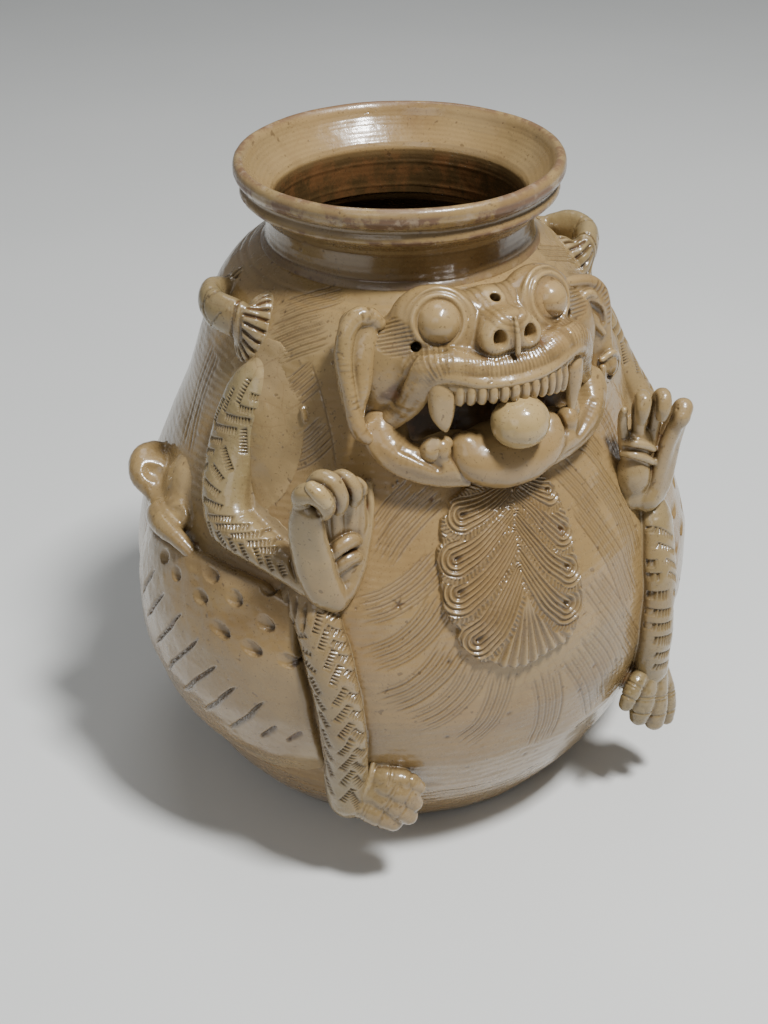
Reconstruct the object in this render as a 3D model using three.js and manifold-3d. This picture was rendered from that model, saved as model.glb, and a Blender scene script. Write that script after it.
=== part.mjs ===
// Celadon zun vessel: a pear-shaped stoneware jar with a short neck and a dished mouth, carrying an applied
// squatting beast: head with open mouth and ball, raised forelegs, haunches and hind legs, wavy side fins and two loop lugs.
// Millimetres, +Z up, origin at the centre of the flat base. The beast faces -Y. "left" is the viewer's left (-X), facing the beast.
import * as THREE from "three";
import { mergeVertices } from "three/addons/utils/BufferGeometryUtils.js";
import Module from "manifold-3d";

// ---- driving dimensions (mm) ----
const HEIGHT = 279;
const RIM_R = 66;
const BASE_R = 80.5;
const THROAT_R = 50;
const WALL = 7;
const GAP = 0.32;
const SEG = 56;
const DETAIL = 0.56;     // mesh density of the applied pieces
// outer profile of the thrown body, [height, radius]
const PROFILE = [
  [0, 80.5], [3, 84.6], [8, 88.4], [20, 96.9], [38, 107], [60, 115.7], [85, 120.1], [110, 118.8], [135, 113.1],
  [160, 101.6], [185, 90.6], [205, 84], [225, 76.4], [236, 68.5], [241, 62],
];
const NECK_Z = 244, RIM_Z = 258;

const wasm = await Module();
wasm.setup();
const rad = (d) => (d * Math.PI) / 180;

// ---- solids from three.js geometries ----
function solid(geometry) {
  let g = geometry.index ? geometry.toNonIndexed() : geometry.clone();
  g = new THREE.BufferGeometry().setAttribute("position", g.getAttribute("position"));
  const m = mergeVertices(g, 1e-3);
  const idx = m.index.array, keep = [];
  for (let i = 0; i < idx.length; i += 3)
    if (idx[i] !== idx[i + 1] && idx[i + 1] !== idx[i + 2] && idx[i] !== idx[i + 2]) keep.push(idx[i], idx[i + 1], idx[i + 2]);
  const make = (tri) =>
    new wasm.Manifold(new wasm.Mesh({ numProp: 3, vertProperties: new Float32Array(m.attributes.position.array), triVerts: new Uint32Array(tri) }));
  let s = make(keep);
  if (s.volume() < 0) {
    for (let i = 0; i < keep.length; i += 3) [keep[i + 1], keep[i + 2]] = [keep[i + 2], keep[i + 1]];
    s = make(keep);
  }
  return s;
}
function geometryOf(s) {
  const mesh = s.getMesh();
  const g = new THREE.BufferGeometry();
  const n = mesh.numProp, v = mesh.vertProperties, out = new Float32Array((v.length / n) * 3);
  for (let i = 0; i < v.length / n; i++) { out[3 * i] = v[n * i]; out[3 * i + 1] = v[n * i + 1]; out[3 * i + 2] = v[n * i + 2]; }
  g.setAttribute("position", new THREE.BufferAttribute(out, 3));
  g.setIndex(new THREE.BufferAttribute(new Uint32Array(mesh.triVerts), 1));
  const flat = g.toNonIndexed();
  flat.computeVertexNormals();
  return flat;
}
const lathe = (pts, seg = SEG) => solid(new THREE.LatheGeometry(pts.map((p) => new THREE.Vector2(p[0], p[1])), seg).rotateX(Math.PI / 2));

// ---- the surface of the body ----
function radiusAt(z) {
  if (z <= PROFILE[0][0]) return PROFILE[0][1];
  for (let i = 1; i < PROFILE.length; i++)
    if (z <= PROFILE[i][0]) {
      const [z0, r0] = PROFILE[i - 1], [z1, r1] = PROFILE[i];
      return r0 + ((r1 - r0) * (z - z0)) / (z1 - z0);
    }
  return PROFILE[PROFILE.length - 1][1];
}
// point at azimuth az (degrees from -Y towards +X), height z, h above the surface
function S(az, z, h = 0) {
  const dz = 6, slope = (radiusAt(z + dz) - radiusAt(z - dz)) / (2 * dz);
  const l = Math.hypot(1, slope), nr = 1 / l, nz = -slope / l;
  const r = radiusAt(z) + h * nr;
  return new THREE.Vector3(r * Math.sin(rad(az)), -r * Math.cos(rad(az)), z + h * nz);
}
// ---- primitives that can grow by g all round ----
function ell(c, r, q, g = 0, w = 20, h = 12) {
  const geo = new THREE.SphereGeometry(1, Math.round(w * DETAIL), Math.round(h * DETAIL));
  const m = new THREE.Matrix4().compose(c, q || new THREE.Quaternion(), new THREE.Vector3(r[0] + g, r[1] + g, r[2] + g));
  return solid(geo.applyMatrix4(m));
}
function tube(points, r, g = 0, steps = 14, sides = 8) {
  steps = Math.round(steps * DETAIL) + 1; sides = 8;
  const curve = new THREE.CatmullRomCurve3(points);
  const shape = new THREE.Shape();
  for (let i = 0; i < sides; i++) {
    const a = (i / sides) * 2 * Math.PI;
    (i ? shape.lineTo : shape.moveTo).call(shape, (r + g) * Math.cos(a), (r + g) * Math.sin(a));
  }
  return solid(new THREE.ExtrudeGeometry(shape, { steps, extrudePath: curve, bevelEnabled: false, curveSegments: 1 }));
}
const join = (...s) => s.reduce((a, b) => a.add(b));
const mirror = (s) => s.mirror([1, 0, 0]);

// ---- body, neck, mouth ----
const outer = (g) => [[0, -g], ...PROFILE.map(([z, r], i) => [r + g, i ? z : z - g])];
const bodyPlug = (g) => lathe([...outer(g), [57 + g, 243.7 + g], [0, 243.7 + g]]);
const bodyOuter = bodyPlug(0), bodyGrown = bodyPlug(GAP);
const inner = [[160, 94.2], [185, 83], [205, 76.5], [225, 68.5], [234, 60.5], [238, 54], [241, THROAT_R]];
const cavity = lathe([[0, WALL + 2], [70, WALL + 2], [82, 14], [90, 22], [99.5, 38], [108.4, 60], [112.8, 85], [111.5, 110], [105.8, 135],
  ...inner.map(([z, r]) => [r, z]), [THROAT_R, 250], [0, 250]]);
const body = bodyOuter.subtract(cavity);
const neck = lathe([[THROAT_R - 0.5, NECK_Z], [56.6, NECK_Z], [55.6, 245.8], [54.3, 248.6], [54, 252], [54.6, 255.8], [55.2, RIM_Z - GAP], [THROAT_R - 0.5, RIM_Z - GAP], [THROAT_R - 0.5, NECK_Z]]);
const rim = lathe([[THROAT_R - 0.5, RIM_Z], [55.2, RIM_Z], [57.4, 260.8], [60.4, 263], [63.6, 265.2], [63.2, 268], [63, 270], [65.2, 271.6],
  [RIM_R, 274.4], [65.6, 277.6], [63.4, HEIGHT], [61.4, 277.8], [59.6, 273.5], [55.5, 268.4], [51.8, 265], [THROAT_R, 262.3], [THROAT_R - 0.5, RIM_Z]]);

const parts = {};
const put = (name, s) => { parts[name] = s; };
put("body", body); put("neck", neck); put("mouth_rim", rim);

// ---- head; coordinates are direct millimetres, written for +X and mirrored ----
const V3 = (p) => new THREE.Vector3(p[0], p[1], p[2]);
const T = (pts, r, g = 0, steps = 14) => tube(pts.map(V3), r, g, steps);
// an ellipsoid standing on the wall: r is [sideways, up the wall, out of the wall]
function onWall(az, z, h, r, g = 0, w = 20, n = 12) {
  const slope = (radiusAt(z + 6) - radiusAt(z - 6)) / 12, l = Math.hypot(1, slope), a = rad(az);
  const out = new THREE.Vector3(Math.sin(a) / l, -Math.cos(a) / l, -slope / l), side = new THREE.Vector3(Math.cos(a), Math.sin(a), 0);
  const up = new THREE.Vector3().crossVectors(out, side);
  return ell(S(az, z, h), r, new THREE.Quaternion().setFromRotationMatrix(new THREE.Matrix4().makeBasis(side, up, out)), g, w, n);
}
const E = (c, r, g = 0, w = 20, n = 12) => ell(V3(c), r, null, g, w, n);
const cut = (s, ...others) => others.reduce((a, b) => a.subtract(b), s.subtract(bodyGrown));
const biggest = (s) => s.decompose().sort((a, b) => b.volume() - a.volume())[0];
const mirrorX = (pts, sx) => pts.map((p) => [sx * p[0], p[1], p[2]]);
const pearl = (g) => E([0.4, -102.6, 207.6], [11.3, 10.6, 9.8], g, 18, 12);
const eye = (sx) => (g) => E([sx * 22.2, -80, 243], [8.1, 8.1, 8.1], g, 16, 10);
const nose = (g) => E([0, -91.5, 240.2], [12.4, 9.4, 8.4], g, 16, 10);
const TONGUE = [[17.4, -93.5, 197], [14.5, -96.4, 191.5], [6, -98, 188.2], [0, -98.4, 187.8], [-6, -98, 188.2], [-14.5, -96.4, 191.5], [-17.4, -93.5, 197]];
const tongue = (g) => join(T(TONGUE, 7.9, g, 12), E([0, -92, 193], [20.5, 12.5, 9.5], g));
const TEETH = [[24.5, -95, 221.8], [14, -99.6, 221.4], [0, -101.6, 221.2], [-14, -99.6, 221.4], [-24.5, -95, 221.8]];
const teeth = (g) => T(TEETH, 2.8, g, 12);
const FANG = [[28.6, -88.6, 221], [28.2, -91, 215.5], [27.2, -93.4, 209.5], [26.2, -94.6, 205]];
const fang = (sx) => (g) => T(mirrorX(FANG, sx), 3.7, g, 6);
const LOWER_FANG = [[29.8, -88, 193.5], [29.2, -91.6, 198], [28.4, -93, 202]];
const lowFang = (sx) => (g) => T(mirrorX(LOWER_FANG, sx), 4.1, g, 5);
const LIP = [[40.5, -78.5, 208.5], [37, -81.4, 217.5], [33.4, -84.6, 224], [26.5, -88.6, 228.6], [18.5, -92, 228.4], [8, -95.2, 227.2], [0, -95.8, 227]];
const LIP_ALL = [...LIP, ...LIP.slice(0, -1).reverse().map((p) => [-p[0], p[1], p[2]])];
const muzzle = (g) => join(
  E([0, -64, 224], [41, 22, 20], g, 26, 16), E([0, -73.5, 224], [37, 23, 18], g, 26, 16), T(LIP_ALL, 6.4, g, 24),
  E([0, -76, 239], [15, 12.5, 11.6], g, 18, 12),
  ...[-1, 1].flatMap((sx) => [E([sx * 37.5, -67, 220], [13.5, 13.5, 21], g, 18, 12), E([sx * 21.4, -74.6, 240.2], [16, 12.6, 11.8], g, 18, 12)]));
const JAW = [[44, -73.5, 205], [45, -78, 199.8], [40, -84.5, 194], [33.5, -89.2, 191.6], [24.5, -92.8, 189.6], [12, -94.5, 188], [0, -95, 187.5]];
const JAW_ALL = [...JAW, ...JAW.slice(0, -1).reverse().map((p) => [-p[0], p[1], p[2]])];
const JAW_LIP = [[49, -77.2, 203.5], [48.6, -82, 196.8], [44, -86.5, 191.2], [36, -91.5, 187.4], [26, -95.2, 185], [17, -97, 183.8]];
const jaw = (g) => join(T(JAW_ALL, 6.2, g, 24), E([0, -82, 192], [36, 14, 9], g, 22, 12), ...[-1, 1].flatMap((sx) => [E([sx * 41, -74, 200], [9, 8, 8], g, 14, 10), T(mirrorX(JAW_LIP, sx), 2.6, g, 12)]));
const gape = join(E([0, -92, 210.5], [29.5, 26, 13], 0, 24, 14), E([30.5, -88, 206.5], [7.5, 12, 8], 0, 14, 10), E([-30.5, -88, 206.5], [7.5, 12, 8], 0, 14, 10));
const jawHollow = join(E([0, -94, 207], [27.5, 24, 10.5], 0, 24, 14), E([34.5, -88, 204.5], [7, 11, 6.5], 0, 14, 10), E([-34.5, -88, 204.5], [7, 11, 6.5], 0, 14, 10));
// the left ear is a long folded flap; the right ear is curled, with a knot of clay under it
const earLeft = (g) => join(T([[-42.5, -67.5, 243], [-49.5, -66.8, 244.6], [-54.4, -69.4, 238], [-56.2, -73, 228.5], [-56, -76, 219], [-55.2, -78.6, 209], [-52, -79.6, 202.5]], 3.2, g, 22), T([[-46.5, -65.5, 240], [-50, -67.2, 231], [-52, -71.4, 220], [-53, -75.8, 209]], 5.6, g, 12));
const earRight = (g) => join(T([[36, -69.4, 242.6], [44, -67.4, 241], [51.5, -66.9, 238], [56.2, -67, 230], [57.2, -67.8, 220], [57, -72, 209.5]], 3.0, g, 20), T([[42, -65, 232.5], [49, -65.4, 229], [52.4, -66.4, 219.5], [54, -70.4, 209]], 7.4, g, 12), E([57.6, -72.2, 204], [5.2, 4.2, 7], g, 12, 10), E([43.8, -75.2, 221], [3.2, 3.2, 3.2], g, 10, 8));
put("pearl", pearl(0));
put("tongue", cut(tongue(0), pearl(GAP)));
put("upper_teeth", cut(teeth(0), pearl(GAP), tongue(GAP)));
for (const [side, sx] of [["left", -1], ["right", 1]]) {
  put("eye_" + side, cut(eye(sx)(0)));
  put("fang_" + side, biggest(cut(fang(sx)(0), teeth(GAP), tongue(GAP))));
  put("lower_fang_" + side, biggest(cut(lowFang(sx)(0), fang(sx)(GAP), teeth(GAP), tongue(GAP))));
}
put("nose", cut(nose(0), teeth(GAP), pearl(GAP), eye(-1)(GAP), eye(1)(GAP)));
const mouthBits = [pearl(GAP), tongue(GAP), teeth(GAP), nose(GAP), fang(-1)(GAP), fang(1)(GAP), lowFang(-1)(GAP), lowFang(1)(GAP), eye(-1)(GAP), eye(1)(GAP)];
put("lower_jaw", biggest(cut(jaw(0), jawHollow, ...mouthBits)));
put("upper_head", biggest(cut(muzzle(0), jaw(GAP), gape, ...mouthBits)));
put("ear_left", biggest(cut(earLeft(0), jaw(GAP), muzzle(GAP))));
put("ear_right", biggest(cut(earRight(0), jaw(GAP), muzzle(GAP))));

// ---- beard plaque: a thin shield on the chest, outline as [azimuth, height] ----
const PLAQUE = [[-14.5, 174.4], [-16.5, 168.4], [-16.6, 160.7], [-17.9, 153.9], [-17.4, 142], [-16.9, 135.7], [-14.4, 127.9], [-14.3, 121.4], [-10.4, 113.2], [-6.5, 109.7], [-2.2, 107.9], [2.1, 109.6],
  [7.5, 112], [10.1, 114.9], [13.1, 130.2], [12.9, 145.3], [13.7, 152.6], [12.2, 170.6], [9.9, 175.1], [3.4, 180.9], [-6.7, 181.8]];
const plaqueShape = new THREE.Shape(PLAQUE.map(([a, z]) => new THREE.Vector2(S(a, z, 0).x, z)));
const plaquePrism = solid(new THREE.ExtrudeGeometry(plaqueShape, { depth: 70, bevelEnabled: false }).rotateX(Math.PI / 2).translate(0, -60, 0));
put("beard_plaque", biggest(cut(plaquePrism.intersect(bodyPlug(4.2)), jaw(GAP), tongue(GAP))));

// ---- forelegs, hands, fins and lugs, left side; most are mirrored for the right ----
const W = (rows, r, g = 0, steps = 14) => tube(rows.map((p) => S(p[0], p[1], p[2])), r, g, steps);
const upperArm = (g) => W([[-66, 209, -3], [-66.8, 200, 1.5], [-67.8, 189, 3], [-68.2, 177, 4], [-67.2, 165, 5]], 7.6, g, 12);
const foreArm = (g) => W([[-67.2, 165, 5], [-63.6, 157.6, 5.6], [-57.8, 153.4, 5.6], [-51.2, 150.2, 5.2], [-46.2, 147, 5], [-42.8, 144, 5]], 7.1, g, 12);
const shoulder = (g) => onWall(-64, 194, -3, [21, 22, 8], g, 20, 14);
const HAND_BAR = [[71, -89.4, 141.6], [75, -89, 148], [78, -88.6, 158], [80, -88.6, 169], [81, -89.2, 179], [80.6, -90.4, 188.5]];
const HAND_PALM = [[69.5, -85.4, 144], [66.4, -85, 156], [64.6, -84.4, 170], [63.6, -84, 182]];
const HAND_TIPS = [[79, -90.6, 190], [74, -90.8, 191.4], [68, -90.2, 191.4], [60.6, -87.6, 189]];
const handL = (g) => join(T(mirrorX(HAND_BAR, -1), 6.4, g, 12), T(mirrorX(HAND_PALM, -1), 5.2, g, 10), T(mirrorX([[74, -84.6, 150], [73, -84.6, 166], [73, -84.6, 182]], -1), 5, g, 8), T(mirrorX([[60.5, -85, 156], [58, -84.4, 168], [57, -84, 180]], -1), 3.2, g, 8), T(mirrorX(HAND_TIPS, -1), 4.9, g, 10));
const HAND2_BAR = [[70.5, -88, 147], [75.6, -87.2, 151], [78.6, -86.6, 160], [80.8, -86.8, 170], [82.8, -88, 179], [82, -90.6, 186.5]];
const handR = (g) => join(T(HAND2_BAR, 5.9, g, 12), E([65.4, -84.5, 158], [7.4, 7.2, 12.5], g, 16, 12), T([[72.8, -84.2, 168], [73.8, -84.4, 180], [73.2, -87.6, 192.5]], 4.2, g, 10), T([[66, -84.2, 168], [64.4, -84.4, 181], [62.8, -88.2, 194.5]], 4.2, g, 10), T([[61, -83.6, 168], [59.2, -83.2, 178], [58.4, -84, 188]], 2.6, g, 8), E([67.6, -86, 148], [7.4, 5.2, 5.4], g, 14, 10));
const LEG = [[-44, 140.5, 1.5], [-42, 134, 3.4], [-39.4, 120, 3.8], [-37.4, 103, 3.8], [-36.2, 85, 4], [-36, 68, 4.8], [-36.4, 56, 6.4], [-36, 48, 8.6]];
const LEG_R = [[44, 140.5, 1.5], [41.6, 134, 3.4], [38.8, 120, 3.8], [37, 103, 3.8], [35.8, 88, 4.4], [36, 76, 5.4], [36.6, 68, 6.4]];
const legL = (g) => W(LEG, 7.7, g, 20), legR = (g) => W(LEG_R, 7.7, g, 18);
const footL = (g) => join(E([-62, -97, 47.5], [11, 10.5, 11], g, 18, 12), T([[-68, -96, 43.5], [-61.5, -103.4, 40], [-55.6, -108.4, 35.6]], 5.6, g, 8), T([[-61.6, -99.8, 48], [-54.8, -107.4, 45.2], [-49.8, -110.8, 39]], 5.0, g, 8), T([[-60.6, -99, 53], [-53.4, -106.6, 53.4], [-46.6, -110, 48]], 5.0, g, 8));
const footR = (g) => join(E([73, -97.4, 59], [10.5, 8.5, 11], g, 18, 12), T([[66, -102.8, 65], [60.6, -105.6, 63.6], [57, -106.4, 56.4]], 3.3, g, 8), T([[70, -102, 62], [67.4, -104, 52], [65.6, -104.6, 43.8]], 5.0, g, 8), T([[76.4, -99.4, 60], [75.4, -102.2, 48], [74.6, -104, 37.6]], 5.0, g, 8), T([[81.6, -95, 57], [83.4, -98, 46], [83.6, -100.6, 36]], 4.5, g, 8));
const haunch = (g) => onWall(-64, 106, -14, [57, 57, 22.4], g, 28, 18);
const finUpper = (g) => join(W([[-103, 163, -0.5], [-100.5, 158, 3], [-97.5, 151.4, 6], [-94.5, 145, 4], [-90, 140, 1]], 5.4, g, 14), onWall(-98, 151.5, 2.4, [8.5, 10, 9.5], g, 16, 10));
const finLower = (g) => join(W([[-88, 147.5, 3.6], [-84.5, 143.6, 5.4], [-79.5, 141.6, 6], [-75.2, 140, 4], [-71.4, 135.5, 0.8]], 4.6, g, 14), onWall(-80.8, 146, 2.2, [9.5, 8.5, 7.6], g, 16, 10));
const fin = (g) => join(finUpper(g), finLower(g), onWall(-86, 156, 0.4, [11, 10.5, 5], g, 16, 10));
// the lug is an upright strap bent into a loop; both roots are spread out as fans
const LOOP = [[-72, 226.5, 0.8], [-75.6, 226.6, 5.6], [-79.4, 226.4, 9.2], [-83.6, 226.2, 11], [-88, 226.8, 11], [-91.8, 228, 9], [-95, 229.2, 5.4], [-97.4, 230, 0.8]];
function lugLoop(g) {
  const curve = new THREE.CatmullRomCurve3(LOOP.map((p) => S(...p))), n = 15, t = 3.5 + g, h = 6.6 + g, tris = [], ring = [];
  for (let i = 0; i <= n; i++) {
    const c = curve.getPoint(i / n), d = curve.getTangent(i / n), out = new THREE.Vector3(d.y, -d.x, 0).normalize(), k = 10;
    for (let j = 0; j < k; j++) {
      const a = (j / k) * 2 * Math.PI;
      ring.push(c.clone().addScaledVector(out, t * Math.cos(a)).add(new THREE.Vector3(0, 0, h * Math.sin(a))));
    }
  }
  const k = 10, at = (i, j) => ring[i * k + (j % k)], face = (...p) => p.forEach((q) => tris.push(q.x, q.y, q.z));
  for (let i = 0; i < n; i++) for (let j = 0; j < k; j++) { face(at(i, j), at(i + 1, j), at(i + 1, j + 1)); face(at(i, j), at(i + 1, j + 1), at(i, j + 1)); }
  for (let j = 1; j < k - 1; j++) { face(at(0, 0), at(0, j), at(0, j + 1)); face(at(n, 0), at(n, j + 1), at(n, j)); }
  return solid(new THREE.BufferGeometry().setAttribute("position", new THREE.BufferAttribute(new Float32Array(tris), 3)));
}
const tasselFront = (g) => onWall(-74.6, 226.2, -0.4, [10.6, 13.4, 4], g, 20, 10);
const tasselBack = (g) => onWall(-98, 232.4, -0.8, [8, 8, 3.2], g, 16, 10);
const both = (name, s) => { put(name + "_left", s); put(name + "_right", mirror(s)); };
const cutL = (s, ...others) => biggest(cut(s, ...others));
const headAll = [jaw(GAP), muzzle(GAP)];
put("forepaw_left", cutL(handL(0))); put("forepaw_right", cutL(handR(0)));
put("forearm_left", cutL(foreArm(0), handL(GAP))); put("forearm_right", cutL(mirror(foreArm(0)), handR(GAP)));
put("upper_arm_left", cutL(upperArm(0), foreArm(GAP), handL(GAP), tasselFront(GAP))); put("upper_arm_right", cutL(mirror(upperArm(0)), mirror(foreArm(GAP)), handR(GAP), mirror(tasselFront(GAP))));
both("shoulder", cutL(shoulder(0), upperArm(GAP), foreArm(GAP), fin(GAP), tasselFront(GAP), ...headAll, earLeft(GAP), mirror(earRight(GAP))));
put("hind_foot_left", cutL(footL(0))); put("hind_foot_right", cutL(footR(0)));
put("hind_leg_left", cutL(legL(0), footL(GAP), foreArm(GAP), handL(GAP))); put("hind_leg_right", cutL(legR(0), footR(GAP), mirror(foreArm(GAP)), handR(GAP)));
put("haunch_left", cutL(haunch(0), legL(GAP), footL(GAP), foreArm(GAP), fin(GAP), handL(GAP))); put("haunch_right", cutL(mirror(haunch(0)), legR(GAP), footR(GAP), mirror(foreArm(GAP)), mirror(fin(GAP)), handR(GAP)));
both("side_fin", cutL(fin(0), foreArm(GAP), upperArm(GAP)));
both("lug", cutL(lugLoop(0)));
both("lug_tassel_front", cutL(tasselFront(0), lugLoop(GAP)));
both("lug_tassel_back", cutL(tasselBack(0), lugLoop(GAP)));

// ---- the scene graph ----
const glaze = (c) => new THREE.MeshStandardMaterial({ color: c, roughness: 0.25, metalness: 0 });
const root = new THREE.Group();
for (const [name, s] of Object.entries(parts)) {
  const mesh = new THREE.Mesh(geometryOf(s), glaze(name.startsWith("body") ? 0x8f7a5c : 0xa08c6c));
  mesh.name = name;
  root.add(mesh);
}
export default root;
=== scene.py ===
# Celadon zun vessel: the finished visual model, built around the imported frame. Lengths below are in mm; meshes are made in metres.
import bpy, math
import numpy as np
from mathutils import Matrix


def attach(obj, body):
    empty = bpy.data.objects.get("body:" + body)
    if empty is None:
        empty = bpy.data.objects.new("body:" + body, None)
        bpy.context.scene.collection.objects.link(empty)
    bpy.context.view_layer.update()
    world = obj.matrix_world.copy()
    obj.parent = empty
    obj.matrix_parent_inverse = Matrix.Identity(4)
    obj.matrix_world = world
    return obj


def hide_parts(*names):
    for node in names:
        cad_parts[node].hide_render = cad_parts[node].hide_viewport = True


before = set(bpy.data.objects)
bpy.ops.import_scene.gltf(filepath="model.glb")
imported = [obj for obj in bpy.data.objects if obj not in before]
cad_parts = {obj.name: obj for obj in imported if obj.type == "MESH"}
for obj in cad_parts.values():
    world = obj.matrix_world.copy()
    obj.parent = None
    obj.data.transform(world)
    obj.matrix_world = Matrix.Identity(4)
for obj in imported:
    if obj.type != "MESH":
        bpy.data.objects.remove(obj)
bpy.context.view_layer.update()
import openvdb
from mathutils import Matrix, Vector

rng = np.random.default_rng(7)

# ------------------------------------------------------------------ camera, floor, light
TH, PSI, RHO, FACE = 0.56875, -0.01427, -0.01535, math.radians(25.0)
fw = np.array([math.sin(PSI) * math.cos(TH), math.cos(PSI) * math.cos(TH), -math.sin(TH)])
rt = np.cross(fw, [0, 0, 1.0]); rt /= np.linalg.norm(rt)
up = np.cross(rt, fw)
r2 = rt * math.cos(RHO) + up * math.sin(RHO)
u2 = -rt * math.sin(RHO) + up * math.cos(RHO)
def turn(v):
    c, s = math.cos(-FACE), math.sin(-FACE)
    return np.array([c * v[0] - s * v[1], s * v[0] + c * v[1], v[2]])
cam_pos = turn(np.array([0.0, -0.569368, 0.473355]))
cam_data = bpy.data.cameras.new("camera")
cam_data.sensor_fit = "AUTO"; cam_data.sensor_width = 36.0
cam_data.lens = 1481.96 * 36.0 / 1024.0
cam_data.clip_start = 0.01; cam_data.clip_end = 20.0
cam = bpy.data.objects.new("camera", cam_data)
bpy.context.scene.collection.objects.link(cam)
X, Y, Z = turn(r2), turn(u2), -turn(fw)
cam.matrix_world = Matrix(((X[0], Y[0], Z[0], cam_pos[0]), (X[1], Y[1], Z[1], cam_pos[1]), (X[2], Y[2], Z[2], cam_pos[2]), (0, 0, 0, 1)))
bpy.context.scene.camera = cam

def link(o):
    bpy.context.scene.collection.objects.link(o)
    return o

def make_mesh(name, verts, faces, attrs=None, smooth=True, mat=None):
    me = bpy.data.meshes.new(name)
    verts = np.asarray(verts, dtype=np.float64)
    faces = np.asarray(faces)
    me.vertices.add(len(verts)); me.vertices.foreach_set("co", (verts * 0.001).astype(np.float32).ravel())
    k = faces.shape[1]
    me.loops.add(len(faces) * k); me.loops.foreach_set("vertex_index", faces.astype(np.int32).ravel())
    me.polygons.add(len(faces)); me.polygons.foreach_set("loop_start", np.arange(0, len(faces) * k, k, dtype=np.int32))
    me.update(calc_edges=True)
    me.polygons.foreach_set("use_smooth", np.full(len(faces), smooth))
    for key, val in (attrs or {}).items():
        a = me.attributes.new(key, "FLOAT", "POINT"); a.data.foreach_set("value", np.asarray(val, dtype=np.float32).ravel())
    me.validate()
    o = link(bpy.data.objects.new(name, me))
    if mat: me.materials.append(mat)
    return o

def area(name, pos, target, size, power, size_y=None):
    d = bpy.data.lights.new(name, "AREA"); d.energy = power; d.size = size
    if size_y: d.shape = "RECTANGLE"; d.size_y = size_y
    o = link(bpy.data.objects.new(name, d)); o.location = pos
    o.rotation_euler = (Vector(target) - Vector(pos)).to_track_quat("-Z", "Y").to_euler()
    return o
def around(az, r, z):
    a = math.radians(az)
    return (r * math.sin(a), -r * math.cos(a), z)
area("key", around(24, 0.66, 1.52), (0, 0, 0.14), 0.22, 36)
area("fill", around(-95, 1.4, 1.0), (0, 0, 0.12), 1.2, 1.4)
area("front", around(-45, 1.5, 1.2), (0, 0, 0.12), 0.8, 3.0)
area("top", (0.1, 0.45, 1.6), (0, 0, 0.15), 0.6, 3.5)
w = bpy.data.worlds.new("world"); bpy.context.scene.world = w; w.use_nodes = True
w.node_tree.nodes["Background"].inputs["Color"].default_value = (0.95, 0.97, 1.0, 1)
w.node_tree.nodes["Background"].inputs["Strength"].default_value = 0.17

# ------------------------------------------------------------------ materials
class Mat:
    def __init__(self, name):
        self.m = bpy.data.materials.new(name); self.m.use_nodes = True
        self.t = self.m.node_tree; self.n = self.t.nodes; self.l = self.t.links
        self.b = self.n["Principled BSDF"]
    def add(self, kind, **kw):
        nd = self.n.new(kind)
        for k, v in kw.items():
            if k in ("operation", "noise_dimensions", "attribute_name", "data_type", "blend_type", "feature", "clamp", "invert", "attribute_type"): setattr(nd, k, v)
            else: nd.inputs[k.replace("_", " ")].default_value = v
        return nd
    def link(self, a, b): self.l.new(a, b)
    def ramp(self, fac, stops):
        nd = self.n.new("ShaderNodeValToRGB"); e = nd.color_ramp.elements
        while len(e) > 1: e.remove(e[-1])
        e[0].position, e[0].color = stops[0][0], (*stops[0][1], 1)
        for p, c in stops[1:]:
            x = e.new(p); x.color = (*c, 1)
        self.link(fac, nd.inputs["Fac"]); return nd.outputs["Color"]
    def mix(self, fac, a, b, blend="MIX"):
        nd = self.n.new("ShaderNodeMix"); nd.data_type = "RGBA"; nd.blend_type = blend
        for s, v in ((nd.inputs[0], fac), (nd.inputs[6], a), (nd.inputs[7], b)):
            if isinstance(v, (tuple, list)): s.default_value = (*v, 1)
            elif isinstance(v, (int, float)): s.default_value = v
            else: self.link(v, s)
        return nd.outputs[2]
    def math(self, op, a, b=None, clamp=False):
        nd = self.n.new("ShaderNodeMath"); nd.operation = op; nd.use_clamp = clamp
        for i, v in enumerate((a, b)):
            if v is None: continue
            if isinstance(v, (int, float)): nd.inputs[i].default_value = v
            else: self.link(v, nd.inputs[i])
        return nd.outputs[0]

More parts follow.
